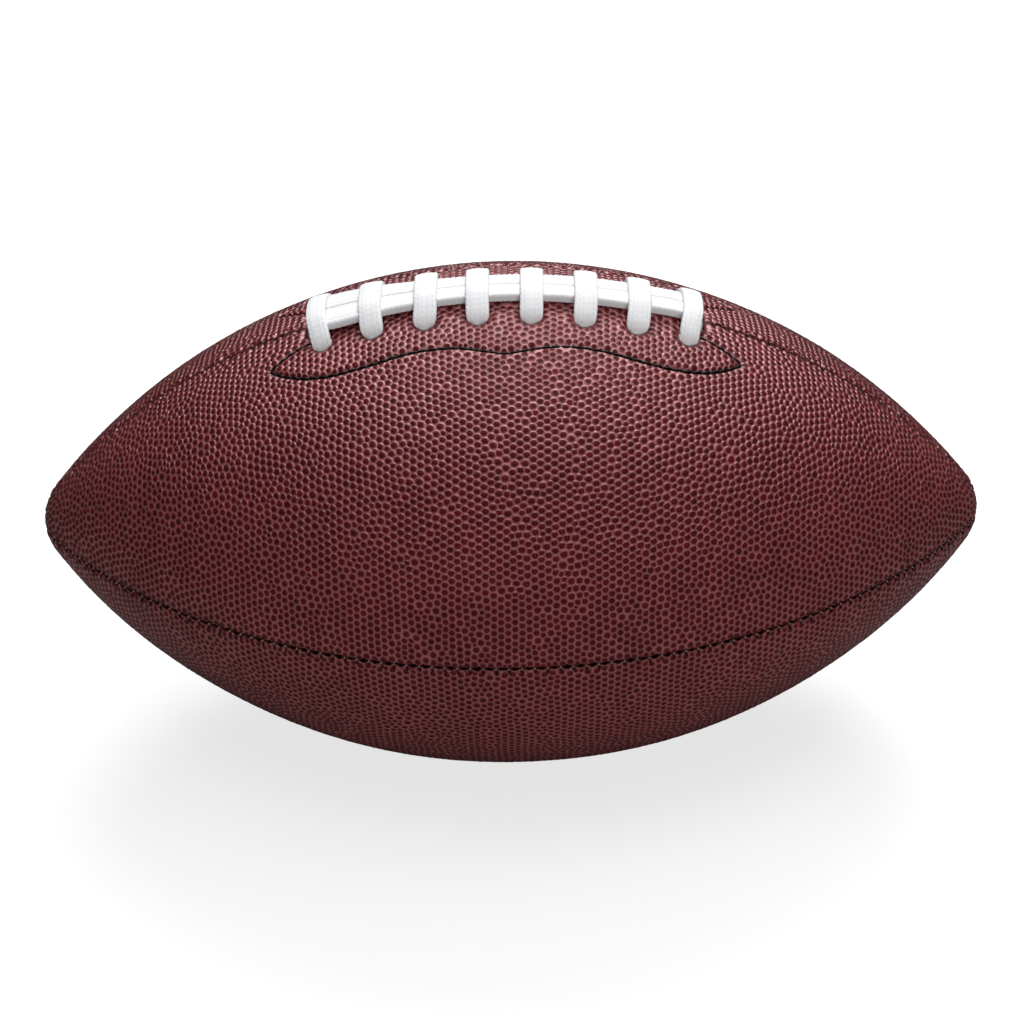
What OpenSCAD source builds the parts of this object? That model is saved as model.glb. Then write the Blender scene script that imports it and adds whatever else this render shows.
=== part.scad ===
// American football: four laced and sewn cover panels with linings round a bladder
// Long axis along X, lacing up at +Z, resting on the bottom seam at the origin

/* [Ball] */
// Length from tip to tip
ball_len = 280; // [250:1:300]
// Diameter at the middle
ball_d = 150; // [140:1:175]
// Radius of the blunt tips
tip_r = 16.5; // [14:0.5:20]

/* [Cover] */
// Thickness of a composite leather panel
panel_t = 1.9; // [1.6:0.1:2.6]
// Thickness of the cloth lining, and of the lace facing that replaces it under the lacing
lining_t = 1.2; // [0.9:0.1:1.8]
// How far the turned-in panel edges reach below the lining
tuck_reach = 0.4; // [0.2:0.1:0.8]
// Radius of the rounded panel edge beside a seam
edge_r = 2.4; // [2:0.1:3]
// Gap between a lining and the turned-in edges, and round the facings
cloth_gap = 0.1; // [0.05:0.05:0.2]

/* [Seam stitching] */
// Diameter of the seam thread
seam_thread_d = 0.6; // [0.4:0.05:0.8]
// Length of one stitch along the seam
stitch_pitch = 3.55; // [3:0.05:5]
// How far the thread swings to each side of the seam
stitch_swing = 0.45; // [0.3:0.05:0.6]
// Depth of the thread's middle below the surface
stitch_depth = 1.4; // [1.3:0.05:1.5]
// Room left round the thread in its channel
stitch_room = 0.15; // [0.1:0.05:0.2]

/* [Lacing] */
// Number of cross laces
cross_count = 8; // [6:1:9]
// Distance between cross laces along the seam
cross_pitch = 14.9; // [13:0.1:15.5]
// Distance of each row of lace holes from the laced seam
hole_off = 11.2; // [10.5:0.1:12.5]
// Radius of a lace hole
hole_r = 2.4; // [2.3:0.05:2.8]
// Radius of the lace where a hole squeezes it round
lace_neck_r = 1.95; // [1.7:0.05:2.1]
// Width of a cross lace
cross_w = 6.8; // [5.5:0.1:8]
// Thickness of a cross lace
cross_t = 2.2; // [1.8:0.1:2.6]
// How far the end cross laces bow out over the ends of the bar
cross_bow = 1.2; // [0:0.1:2.5]
// Width of one of the two lace runs along the seam
strand_w = 5; // [4:0.1:5.5]
// Thickness of a lace run along the seam
strand_t = 2.6; // [2:0.1:3]
// Gap between neighbouring runs of the lace
lace_gap = 0.55; // [0.45:0.05:0.7]
// Width of the lace where it runs inside the cover
inner_w = 4.8; // [4:0.1:5.4]
// Thickness of the lace where it runs inside the cover
inner_t = 2.4; // [2:0.1:2.8]
// Room above and below the lace inside the cover
inner_room = 0.3; // [0.2:0.05:0.5]
// Reach of the lace's bend below a hole
lace_turn = 1.9; // [1.7:0.1:2.2]
// Length of the run over which a lace run dips into the end slot
dip_run = 8; // [7:0.5:9]
// Distance of the end slots beyond the last lace holes
slot_beyond = 3.3; // [3:0.1:4]
// Room between the lace and the ends and sides of an end slot
slot_room = 0.9; // [0.6:0.05:1.1]
// Length of the tucked-in lace ends
tail_len = 11; // [8:0.5:13]

/* [Lips of the laced seam] */
// Height of the rolled lips above the surface
lip_h = 1.2; // [0.8:0.1:1.5]
// Radius of the rolled lips
lip_r = 4.5; // [4:0.1:5.5]
// Depth to which the rolled lips root in the panels
lip_root = 0.5; // [0.3:0.1:0.8]
// Gap between a rolled lip and the seam, and under the lace that lies on it
lip_gap = 0.08; // [0.05:0.01:0.15]
// Distance from the last lace holes back to the ends of the rolled lips
lip_back = 4.6; // [4:0.1:6]

/* [Facing] */
// Reach of the stitched outline from the seam at mid length
facing_reach = 25; // [23:0.5:28]
// Reach of the outline's horns beyond the last lace holes
horn_reach = 15.5; // [14:0.5:18]
// Leather or canvas left outside the stitched outline
facing_margin = 2; // [1.5:0.1:3]
// Facing left beyond an end slot
slot_margin = 2; // [1.5:0.1:3]
// Diameter of the outline's thread
outline_thread_d = 0.8; // [0.6:0.1:1]

/* [Bladder] */
// Thickness of the bladder's wall
bladder_t = 0.8; // [0.6:0.1:1.2]
// Gap between the turned-in panel edges and the bladder
bladder_gap = 0.1; // [0.05:0.05:0.2]
// Thickness of the guard between lace and bladder
guard_t = 1; // [0.8:0.1:1.4]
// Width of the guard to each side of the lace inside
guard_margin = 1; // [0.5:0.1:2]
// Gap between the guard and the bladder's recess
guard_gap = 0.2; // [0.1:0.05:0.3]

/* [Valve] */
// Radius of the valve stem
stem_r = 4; // [3.5:0.1:5]
// Gap round the stem in the cover, and round the flange in the bladder
stem_gap = 0.15; // [0.1:0.05:0.3]
// How far the stem and the core stop below the surface
stem_sunk = 0.4; // [0.2:0.1:0.6]
// Radius of the flange in the bladder's wall
flange_r = 12; // [10:0.5:15]
// Radius of the boss inside the bladder
boss_r = 6.5; // [5.5:0.1:8]
// Length of the boss inside the bladder
boss_len = 7; // [6:0.5:10]
// Radius of the valve core
core_r = 2.6; // [2.3:0.1:3]
// Gap round the valve core
core_gap = 0.05; // [0.02:0.01:0.1]
// Thickness of the rubber below the core
boss_floor = 1.2; // [1:0.1:2]
// Radius of the inflating needle's bore
needle_r = 1; // [0.8:0.05:1.2]

/* [Hidden] */

// Roundness of the long profile arcs, of the turns about the ball's axis and of small rounds
arc_fn = 256;
turn_fn = 192;
small_fn = 48;
cut_fn = 64;

// Sides of the threads and of the lace, and the steps between their stations
thread_sides = 4;
lace_sides = 8;
outline_steps = 3;
lace_steps = 2;

leather = "#5b2422";
cloth = "#c9b48e";
thread_dark = "#1b1413";
lace_white = "#eeeeee";
facing_brown = "#3b2a20";
rubber_black = "#1d1d1f";
rubber_grey = "#2f3033";

// Radius and half angle of the long profile arc, which runs tangent into the tip rounds
ball_r = ball_d / 2;
tip_c = ball_len / 2 - tip_r;
rho = (tip_c * tip_c + ball_r * ball_r - tip_r * tip_r) / (2 * (ball_r - tip_r));
arc_low = rho - ball_r;
phi_t = atan2(tip_c, arc_low);
deg = 180 / PI;
s_join = rho * phi_t / deg;

// One overrun serves all cuts, and one small step finds the directions on the surface
over = 5;
probe = 1;

// Cuts and rolls that meet end to end lap over each other, with a small step between them
lap_step = 0.05;
lap_turn = 1.5;

// Depths below the surface, from the outside in
skin = panel_t + lining_t;
tuck_in = skin + tuck_reach;
bladder_in = tuck_in + bladder_gap;
inner_v = -(skin + inner_room + inner_t / 2);
guard_in = skin + 2 * inner_room + inner_t;
recess_in = guard_in + guard_t + guard_gap;

// The rounded edge meets the surface and the seam at a slight angle
edge_share = 0.958;
edge_c = edge_r * edge_share;
channel_half = seam_thread_d / 2 + stitch_room;
channel_in = stitch_depth + channel_half;
channel_w = stitch_swing + channel_half;

// Places along the laced seam, as lengths measured on the surface from mid length
last_hole = (cross_count - 1) / 2 * cross_pitch;
slot_s = last_hole + slot_beyond;
strand_u = (strand_w + lace_gap) / 2;
slot_half = strand_t / 2 + slot_room;
slot_wide = strand_u + strand_w / 2 + slot_room / 2;
facing_end = slot_s + slot_half + slot_margin;
open_end = facing_end + cloth_gap;
lip_end = last_hole - lip_back;
lip_c = lip_r - lip_h;
lip_off = sqrt(lip_r * lip_r - (lip_c - lip_root) * (lip_c - lip_root)) + lip_gap;
strand_v = lip_h + lip_gap + strand_t / 2;
cross_v = strand_v + strand_t / 2 + lace_gap + cross_t / 2;
horn_s = last_hole + horn_reach;
guard_half = hole_off + inner_w / 2 + guard_margin;
guard_len = slot_s + tail_len + guard_margin;

// The thread stops where four seams come together at the tips
thread_end = s_join + (acos(2 * channel_w / tip_r) - phi_t) / deg * tip_r;

// Turn of the valve's axis about the long axis, from the top to the back lower panel's middle
valve_turn = -135;
core_in = bladder_in + bladder_t + boss_len - boss_floor;
core_len = core_in - stem_sunk;

// The stitched outline, from under the end lace round a horn to mid length,
// as shares of the horn's reach along the seam and of the outline's reach across it
outline_shares = [
    [0.775, 0.31],
    [0.827, 0.36],
    [0.910, 0.44],
    [0.968, 0.535],
    [1.000, 0.61],
    [0.965, 0.705],
    [0.915, 0.80],
    [0.820, 0.92],
    [0.700, 0.975],
    [0.560, 0.955],
    [0.430, 0.90],
    [0.310, 0.875],
    [0.195, 0.892],
    [0.095, 0.95],
    [0.000, 1.00]
];

// Half a cross lace from its hole to the top of the bar: shares of the hole's distance
// from the seam, of the lace's height and of its full width
cross_shares = [
    [0.985, 0.14, 0.35],
    [0.900, 0.36, 0.95],
    [0.750, 0.61, 1.00],
    [0.600, 0.82, 1.00],
    [0.430, 0.97, 1.00],
    [0.210, 1.00, 1.00]
];

// The lace's bend below a hole: shares of the bend's reach, of the way down to the inner
// run and of the change to the inner run's width
bend_shares = [
    [0.26, 0.53, 0.40],
    [1.00, 0.93, 0.80],
    [2.10, 1.00, 1.00]
];

// A lace run's dip into an end slot: shares of the dip's run and of the run's height
dip_shares = [
    [1.00, 1.00],
    [0.61, 0.96],
    [0.28, 0.66],
    [0.06, 0.10]
];

// Where the lace passes through the cover: shares of its thickness
neck_shares = [0.42, 0.88];

// The turn inside the cover between the two runs: shares of their distance from the seam,
// of the way down to the inner run and of the change to the inner run's width
turn_shares = [
    [-0.80, 0.60, 0.40],
    [0.00, 1.00, 1.00],
    [0.80, 0.60, 0.40]
];

// From the end slot to the first hole: shares of the way, of the way down and of the change
first_shares = [
    [0.12, 0.80, 0.30],
    [0.45, 1.00, 1.00]
];

// The tucked start of the lace: shares of its length, of the way down and of the change
tail_shares = [
    [1.00, 1.00, 1.00],
    [0.50, 1.00, 1.00],
    [0.17, 0.93, 0.80],
    [0.04, 0.60, 0.40]
];

// Way of the tucked end beyond the last hole, as shares along and across the seam
tail_way_shares = [0.95, 0.32];

// A point on the ball: s along the top seam from mid length, u across it to the front, v out
function phi_at(s) =
    let (a = abs(s))
    sign(s) * (a <= s_join ? a / rho * deg : phi_t + (a - s_join) / tip_r * deg);
function along_at(s, v) =
    let (phi = phi_at(s))
    abs(s) <= s_join ? (rho + v) * sin(phi) : sign(s) * tip_c + (tip_r + v) * sin(phi);
function out_at(s, v) =
    let (phi = phi_at(s))
    abs(s) <= s_join ? (rho + v) * cos(phi) - arc_low : (tip_r + v) * cos(phi);
function psi_at(s, u) = u / out_at(s, 0) * deg;
function spot(s, u, v) =
    let (psi = psi_at(s, u))
    [along_at(s, v), -out_at(s, v) * sin(psi), out_at(s, v) * cos(psi)];

function unit(a) = a / norm(a);
function mix(a, b, t) = a + (b - a) * t;
function backward(p) = [for (i = [len(p) - 1:-1:0]) p[i]];

// A smooth run through stations, which it passes through exactly
function curve_at(a, b, c, d, t) =
    (2 * b + (c - a) * t + (2 * a - 5 * b + 4 * c - d) * t * t + (3 * b - a - 3 * c + d) * t * t * t) / 2;
function smooth(p, steps) = [
    for (i = [0:len(p) - 2])
        for (k = [0:steps - 1])
            curve_at(p[max(i - 1, 0)], p[i], p[i + 1], p[min(i + 2, len(p) - 1)], k / steps),
    p[len(p) - 1]
];

// A station is [s, u, v, half width, half thickness, side along s, side along u];
// with no side given, the width lies in the surface
function station_spot(q) = spot(q[0], q[1], q[2]);
function out_dir(q) = unit(spot(q[0], q[1], q[2] + probe) - spot(q[0], q[1], q[2]));
function s_dir(q) = unit(spot(q[0] + probe, q[1], q[2]) - spot(q[0] - probe, q[1], q[2]));
function run_dir(p, i) =
    let (
        next = p[min(i + 1, len(p) - 1)],
        before = p[max(i - 1, 0)]
    )
    unit(station_spot(next) - station_spot(before));
function frame_at(p, i) =
    let (
        q = p[i],
        along = run_dir(p, i),
        out = out_dir(q),
        across = cross(s_dir(q), out),
        hint = abs(q[5]) + abs(q[6]) > 0 ? q[5] * s_dir(q) + q[6] * across : cross(out, along),
        side = unit(hint - (hint * along) * along)
    )
    [station_spot(q), side, cross(along, side), q[3], q[4], along];

module tube(p, sides) {
    frames = [for (i = [0:len(p) - 1]) frame_at(p, i)];
    turns = [for (k = [0:sides - 1]) 360 * k / sides];
    points = [
        for (f = frames)
            for (a = turns)
                f[0] + f[1] * f[3] * cos(a) + f[2] * f[4] * sin(a)
    ];
    last = (len(p) - 1) * sides;
    walls = [
        for (i = [0:len(p) - 2])
            for (k = [0:sides - 1])
                let (
                    a = i * sides + k,
                    b = i * sides + (k + 1) % sides
                )
                each [[a, a + sides, b], [b, a + sides, b + sides]]
    ];
    caps = [
        for (k = [1:sides - 2])
            each [[0, k, k + 1], [last, last + k + 1, last + k]]
    ];
    polyhedron(points = points, faces = concat(walls, caps), convexity = 10);
}

// The tools below work on the front upper quarter of a ball centred on the origin
module raised() {
    translate([0, 0, ball_r]) children();
}

module to_back() {
    mirror([0, 1, 0]) children();
}

module to_below() {
    mirror([0, 0, 1]) children();
}

// Turns a flat drawing of radius and length into the upright plane of the top seam
module stand_up() {
    rotate(a = -120, v = [1, 1, 1]) children();
}

// Local frame on the surface, its Z pointing out
module on_surface(s, u) {
    rotate([psi_at(s, u), 0, 0])
        translate([along_at(s, 0), 0, out_at(s, 0)])
            rotate([0, phi_at(s), 0])
                children();
}

// Half the ball's outline, drawn in by a depth: X is the radius and Y the length
module outline(depth) {
    join_y = tip_c + (tip_r - depth) * sin(phi_t);
    intersection() {
        translate([-arc_low, 0]) circle(r = rho - depth, $fn = arc_fn);
        translate([0, -join_y]) square([ball_r, 2 * join_y]);
    }
    for (end = [-1, 1])
        intersection() {
            translate([0, end * tip_c]) circle(r = tip_r - depth, $fn = arc_fn);
            translate([0, end > 0 ? join_y : -join_y - tip_r]) square([ball_r, tip_r]);
        }
}

// The front upper quarter of a shell
module quarter_shell(depth, wall) {
    rotate([180, 0, 0])
        rotate([0, 90, 0])
            rotate_extrude(angle = 90, $fn = turn_fn)
                difference() {
                    outline(depth);
                    outline(depth + wall);
                }
}

// The upper half of the solid at a depth
module half_ball(depth) {
    rotate([0, 90, 0])
        rotate_extrude(angle = 180, start = 90, $fn = turn_fn)
            outline(depth);
}

// The upper half of a shell
module half_shell(depth, wall) {
    difference() {
        half_ball(depth);
        half_ball(depth + wall);
    }
}

// The turned-in edge on the front side of the top seam; gap_half leaves the laced part out
module tucked_edge(gap_half) {
    stand_up()
        translate([0, 0, -panel_t])
            linear_extrude(panel_t)
                difference() {
                    outline(panel_t / 2);
                    outline(tuck_in);
                    if (gap_half > 0)
                        translate([0, -gap_half]) square([ball_d, 2 * gap_half]);
                }
}

// Section cut out beside a seam: the rounded edge and the channel for the thread
module edge_section(grow) {
    difference() {
        translate([-edge_c, -edge_c]) square([edge_c + over, edge_c + over]);
        translate([-edge_c, -edge_c]) circle(r = edge_r - grow, $fn = small_fn);
    }
    translate([-channel_in - grow, -channel_w - grow])
        square([2 * (channel_half + grow), channel_w + grow + over]);
}

// The cut along the top seam, on its front side
module seam_cut() {
    translate([0, 0, -arc_low])
        stand_up()
            rotate_extrude(angle = 2 * phi_t, start = -phi_t, $fn = arc_fn)
                translate([rho, 0]) edge_section(0);
    tip_turn = 90 - phi_t + lap_turn;
    for (end = [-1, 1])
        translate([end * tip_c, 0, 0])
            stand_up()
                rotate_extrude(angle = tip_turn, start = end > 0 ? 90 - tip_turn : -90, $fn = arc_fn)
                    translate([tip_r, 0]) edge_section(lap_step);
}

// Section of the rolled lip, measured from the surface
module lip_section() {
    intersection() {
        translate([-lip_c, 0]) circle(r = lip_r, $fn = small_fn);
        translate([-lip_root, -lip_r]) square([lip_root + lip_h + over, 2 * lip_r]);
    }
}

// The rolled lip on the front side of the laced opening, with its domed ends
module lip_roll() {
    lip_angle = phi_at(lip_end);
    translate([0, -lip_off, -arc_low])
        stand_up()
            rotate_extrude(angle = 2 * lip_angle, start = -lip_angle, $fn = arc_fn)
                translate([rho, 0]) lip_section();
    for (end = [-1, 1])
        translate([0, -lip_off, 0])
            on_surface(end * (lip_end - lap_step), 0)
                rotate_extrude($fn = small_fn)
                    intersection() {
                        translate([0, -lip_c]) circle(r = lip_r - lap_step, $fn = small_fn);
                        translate([0, -lip_root - lap_step]) square([lip_r, lip_root + lip_h]);
                    }
}

// Everything that the lace goes through: the front row of holes and the end slots
module lace_cuts() {
    for (i = [0:cross_count - 1])
        on_surface(i * cross_pitch - last_hole, hole_off)
            cylinder(r = hole_r, h = 2 * (skin + over), center = true, $fn = cut_fn);
    for (end = [-1, 1])
        on_surface(end * slot_s, 0)
            cube([2 * slot_half, 2 * slot_wide, 2 * (skin + over)], center = true);
}

// The valve's axis comes out through the middle of the back lower panel
module on_valve_axis() {
    rotate([valve_turn, 0, 0]) children();
}

module valve_cut(r) {
    on_valve_axis()
        translate([0, 0, ball_r - skin - over])
            cylinder(r = r, h = skin + 2 * over, $fn = cut_fn);
}

module upper_panel() {
    difference() {
        union() {
            difference() {
                union() {
                    quarter_shell(0, panel_t);
                    tucked_edge(along_at(open_end, 0));
                    rotate([90, 0, 0]) to_back() tucked_edge(0);
                }
                seam_cut();
                rotate([90, 0, 0]) to_back() seam_cut();
            }
            lip_roll();
        }
        lace_cuts();
    }
}

module lower_panel() {
    to_below()
        difference() {
            union() {
                quarter_shell(0, panel_t);
                tucked_edge(0);
                rotate([90, 0, 0]) to_back() tucked_edge(0);
            }
            seam_cut();
            rotate([90, 0, 0]) to_back() seam_cut();
        }
}

// Lining of a quarter, clear of the turned-in edges
module quarter_lining() {
    clear_w = panel_t + cloth_gap;
    difference() {
        quarter_shell(panel_t, lining_t);
        translate([-ball_len / 2, -clear_w, 0]) cube([ball_len, clear_w + over, ball_d]);
        translate([-ball_len / 2, -ball_d, -over]) cube([ball_len, ball_d, clear_w + over]);
    }
}

// The stitched outline as places on the surface, and the same moved outward
function outline_run() = concat(
    [for (q = outline_shares) [q[0] * horn_s, q[1] * facing_reach]],
    [
        for (i = [len(outline_shares) - 2:-1:0])
            [-outline_shares[i][0] * horn_s, outline_shares[i][1] * facing_reach]
    ]
);
function outline_normal(p, i) =
    let (t = unit(p[min(i + 1, len(p) - 1)] - p[max(i - 1, 0)]))
    [t[1], -t[0]];
function facing_edge(grow) =
    let (p = outline_run())
    [for (i = [1:len(p) - 2]) p[i] + outline_normal(p, i) * grow];

// The facing seen from above: a strip along the seam, and the outline grown by a margin
function seen_from_above(p) = [
    for (q = p)
        let (place = spot(q[0], q[1], -panel_t))
        [place[0], place[1]]
];

module facing_prism(grow) {
    end = facing_end + grow - facing_margin;
    strip_u = outline_run()[0][1] + grow - facing_margin;
    linear_extrude(ball_d) {
        polygon(seen_from_above([[end, 0], [end, strip_u], [-end, strip_u], [-end, 0]]));
        polygon(seen_from_above(facing_edge(grow)));
    }
}

module upper_lining() {
    difference() {
        quarter_lining();
        facing_prism(facing_margin + cloth_gap);
    }
}

module front_facing() {
    difference() {
        intersection() {
            quarter_shell(panel_t, lining_t);
            facing_prism(facing_margin);
        }
        lace_cuts();
        translate([-ball_len / 2, -cloth_gap / 2, 0]) cube([ball_len, over, ball_d]);
    }
}

// Thread zigzag along the top seam between two places
module seam_thread(from, to) {
    r = seam_thread_d / 2;
    count = floor((to - from) / stitch_pitch * 2);
    tube(
        [
            for (i = [0:count])
                let (swing = i % 2 == 0 ? stitch_swing : -stitch_swing)
                [mix(from, to, i / count), swing, -stitch_depth, r, r, 0, 1]
        ],
        thread_sides
    );
}

module outline_thread() {
    r = outline_thread_d / 2;
    run = [for (q = outline_run()) [q[0], q[1], r + lip_gap, r, r, 0, 0]];
    tube(smooth(run, outline_steps), thread_sides);
}

// Half width and half thickness of the lace, led by a share from its round neck to a flat run
function flat(t, w, thick) = [mix(lace_neck_r, w / 2, t), mix(lace_neck_r, thick / 2, t)];
function inner_flat(t) = flat(t, inner_w, inner_t);
function strand_flat(t) = flat(t, strand_w, strand_t);
function cross_flat(t) = flat(t, cross_w, cross_t);
function below(t) = mix(-skin, inner_v, t);
function place(s, u, v, size, side) = [s, u, v, size[0], size[1], side[0], side[1]];

// Ways in which the lace's width can lie
wide_s = [1, 0];
wide_u = [0, 1];
wide_between = [1, 1];

// From a hole's neck down and away along a direction in the surface
function leg(s, u, dir) =
    let (side = dir[1] > 0 ? [dir[1], -dir[0]] : [-dir[1], dir[0]])
    concat(
        [for (t = neck_shares) place(s, u, -skin * t, inner_flat(0), mix(wide_s, side, t))],
        [
            for (q = bend_shares)
                place(
                    s + dir[0] * lace_turn * q[0],
                    u + dir[1] * lace_turn * q[0],
                    below(q[1]),
                    inner_flat(q[2]),
                    side
                )
        ]
    );

// One cross lace from its front hole to its back hole
function cross_run(i) =
    let (
        s = i * cross_pitch - last_hole,
        bow = (i == 0 ? -cross_bow : 0) + (i == cross_count - 1 ? cross_bow : 0),
        front = [
            for (q = cross_shares)
                place(
                    s + bow * (1 - q[0] * q[0]),
                    q[0] * hole_off,
                    q[1] * cross_v,
                    cross_flat(q[2]),
                    wide_s
                )
        ],
        back = [for (q = backward(front)) [q[0], -q[1], q[2], q[3], q[4], q[5], q[6]]]
    )
    concat(front, [place(s + bow, 0, cross_v, cross_flat(1), wide_s)], back);

// A run along the seam dipping into an end slot, listed from the run to the slot
function dip(end, u) = concat(
    [
        for (q = dip_shares)
            place(end * (slot_s - dip_run * q[0]), u, q[1] * strand_v, strand_flat(1), wide_u)
    ],
    [place(end * slot_s, u, -skin * neck_shares[0], strand_flat(1), wide_u)]
);
function strand(u) = [
    for (i = [0:cross_count - 1])
        let (s = i * cross_pitch - last_hole)
        if (abs(s) < slot_s - dip_run)
            place(s, u, strand_v, strand_flat(1), wide_u)
];

hole_dir = unit([cross_pitch, 2 * hole_off]);
slot_dir = unit([last_hole - slot_s, strand_u - hole_off]);
tail_dir = unit(tail_way_shares);

tail_start = [
    for (q = tail_shares)
        place(-slot_s - q[0] * tail_len, -strand_u, below(q[1]), inner_flat(q[2]), wide_u)
];
tail_neck = [place(-slot_s, -strand_u, -skin * neck_shares[1], strand_flat(0), wide_u)];
u_turn = concat(
    [place(slot_s, -strand_u, -skin * neck_shares[1], strand_flat(0), wide_between)],
    [for (q = turn_shares) place(slot_s, strand_u * q[0], below(q[1]), inner_flat(q[2]), wide_s)],
    [place(slot_s, strand_u, -skin * neck_shares[1], strand_flat(0), wide_between)]
);
to_first_hole = concat(
    [place(-slot_s, strand_u, -skin * neck_shares[1], strand_flat(0), wide_between)],
    [
        for (q = first_shares)
            place(
                mix(-slot_s, -last_hole, q[0]),
                mix(strand_u, hole_off, q[0]),
                below(q[1]),
                inner_flat(q[2]),
                wide_s
            )
    ]
);

// One cross lace with the legs at both its ends and the middle of the inner run that follows
function crossing(i) =
    let (
        s = i * cross_pitch - last_hole,
        first_leg = leg(s, hole_off, slot_dir),
        short_leg = [for (k = [0:len(first_leg) - 2]) first_leg[k]],
        middle = place(s + cross_pitch / 2, 0, inner_v, inner_flat(1), [hole_dir[1], -hole_dir[0]])
    )
    concat(
        backward(i == 0 ? short_leg : leg(s, hole_off, -hole_dir)),
        cross_run(i),
        leg(s, -hole_off, i == cross_count - 1 ? tail_dir : hole_dir),
        i == cross_count - 1 ? [] : [middle]
    );
tail_end = [
    place(
        last_hole + tail_dir[0] * tail_len,
        -hole_off + tail_dir[1] * tail_len,
        inner_v,
        inner_flat(1),
        [tail_dir[1], -tail_dir[0]]
    )
];
lace_stations = concat(
    tail_start,
    tail_neck,
    backward(dip(-1, -strand_u)),
    strand(-strand_u),
    dip(1, -strand_u),
    u_turn,
    backward(dip(1, strand_u)),
    backward(strand(strand_u)),
    dip(-1, strand_u),
    to_first_hole,
    [for (i = [0:cross_count - 1]) each crossing(i)],
    tail_end
);
lace_rings = smooth(lace_stations, lace_steps);

// Length of the lace along its middle, and its least gap to itself between rings that are
// further apart along the lace than one width
function step_after(f, i) = i + 1 < len(f) ? norm(f[i + 1][0] - f[i][0]) : 0;
function lengths_to(f) = [for (i = 0, l = 0; i < len(f); l = l + step_after(f, i), i = i + 1) l];
function half_extent(f, d) = norm([f[3] * (f[1] * d), f[4] * (f[2] * d)]);
function gap_between(f, g) =
    let (d = unit(g[0] - f[0]))
    norm(g[0] - f[0]) - half_extent(f, d) - half_extent(g, d);

module lace_report() {
    frames = [for (i = [0:len(lace_rings) - 1]) frame_at(lace_rings, i)];
    lengths = lengths_to(frames);
    gaps = [
        for (i = [0:len(frames) - 1])
            for (k = [i + 1:1:len(frames) - 1])
                if (lengths[k] - lengths[i] > cross_w && norm(frames[k][0] - frames[i][0]) < 2 * cross_w)
                    gap_between(frames[i], frames[k])
    ];
    echo(lace_length = lengths[len(lengths) - 1], lace_rings = len(frames), least_gap = min(gaps));
}

module panel_front_upper() {
    color(leather) raised() upper_panel();
}

module panel_front_lower() {
    color(leather) raised() lower_panel();
}

module panel_back_upper() {
    color(leather) raised() to_back() upper_panel();
}

module panel_back_lower() {
    color(leather)
        raised()
            difference() {
                to_back() lower_panel();
                valve_cut(stem_r + stem_gap);
            }
}

module lining_front_upper() {
    color(cloth) raised() upper_lining();
}

module lining_front_lower() {
    color(cloth) raised() to_below() quarter_lining();
}

module lining_back_upper() {
    color(cloth) raised() to_back() upper_lining();
}

module lining_back_lower() {
    color(cloth)
        raised()
            difference() {
                to_back() to_below() quarter_lining();
                valve_cut(stem_r + stem_gap);
            }
}

module seam_thread_front() {
    color(thread_dark) raised() rotate([90, 0, 0]) seam_thread(-thread_end, thread_end);
}

module seam_thread_back() {
    color(thread_dark) raised() rotate([-90, 0, 0]) seam_thread(-thread_end, thread_end);
}

module seam_thread_bottom() {
    color(thread_dark) raised() rotate([180, 0, 0]) seam_thread(-thread_end, thread_end);
}

module seam_thread_top() {
    color(thread_dark)
        raised() {
            seam_thread(open_end, thread_end);
            seam_thread(-thread_end, -open_end);
        }
}

module facing_front() {
    color(facing_brown) raised() front_facing();
}

module facing_back() {
    color(facing_brown) raised() to_back() front_facing();
}

module facing_stitch_front() {
    color(thread_dark) raised() outline_thread();
}

module facing_stitch_back() {
    color(thread_dark) raised() to_back() outline_thread();
}

module lace() {
    lace_report();
    color(lace_white) raised() tube(lace_rings, lace_sides);
}

module bladder_guard() {
    color(facing_brown)
        raised()
            intersection() {
                half_shell(guard_in, guard_t);
                translate([-guard_len, -guard_half, 0]) cube([2 * guard_len, 2 * guard_half, ball_d]);
            }
}

// The bladder's upper half at a depth, with its recess under the lacing
module bladder_top(depth) {
    wide = guard_half + guard_gap + depth;
    long = guard_len + guard_gap + depth;
    difference() {
        half_ball(bladder_in + depth);
        difference() {
            translate([-long, -wide, 0]) cube([2 * long, 2 * wide, ball_d]);
            half_ball(recess_in + depth);
        }
    }
}

module bladder() {
    color(rubber_black)
        raised() {
            difference() {
                bladder_top(0);
                bladder_top(bladder_t);
            }
            difference() {
                to_below() half_shell(bladder_in, bladder_t);
                on_valve_axis() cylinder(r = flange_r + stem_gap, h = ball_d, $fn = cut_fn);
            }
        }
}

module valve_housing() {
    color(rubber_grey)
        raised()
            difference() {
                union() {
                    intersection() {
                        to_below() half_shell(bladder_in, bladder_t);
                        on_valve_axis() cylinder(r = flange_r, h = ball_d, $fn = cut_fn);
                    }
                    on_valve_axis()
                        translate([0, 0, ball_r - bladder_in - bladder_t / 2])
                            cylinder(r = stem_r, h = bladder_in + bladder_t / 2 - stem_sunk, $fn = cut_fn);
                    on_valve_axis()
                        translate([0, 0, ball_r - bladder_in - bladder_t - boss_len])
                            cylinder(r = boss_r, h = boss_len + bladder_t / 2, $fn = cut_fn);
                }
                on_valve_axis()
                    translate([0, 0, ball_r - core_in])
                        cylinder(r = core_r + core_gap, h = core_in + over, $fn = cut_fn);
                on_valve_axis()
                    translate([0, 0, ball_r - core_in - boss_floor - over])
                        cylinder(r = needle_r, h = core_in, $fn = cut_fn);
            }
}

module valve_core() {
    color(rubber_black)
        raised()
            on_valve_axis()
                translate([0, 0, ball_r - core_in])
                    difference() {
                        cylinder(r = core_r, h = core_len, $fn = cut_fn);
                        translate([0, 0, -over])
                            cylinder(r = needle_r, h = core_len + 2 * over, $fn = cut_fn);
                    }
}

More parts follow.
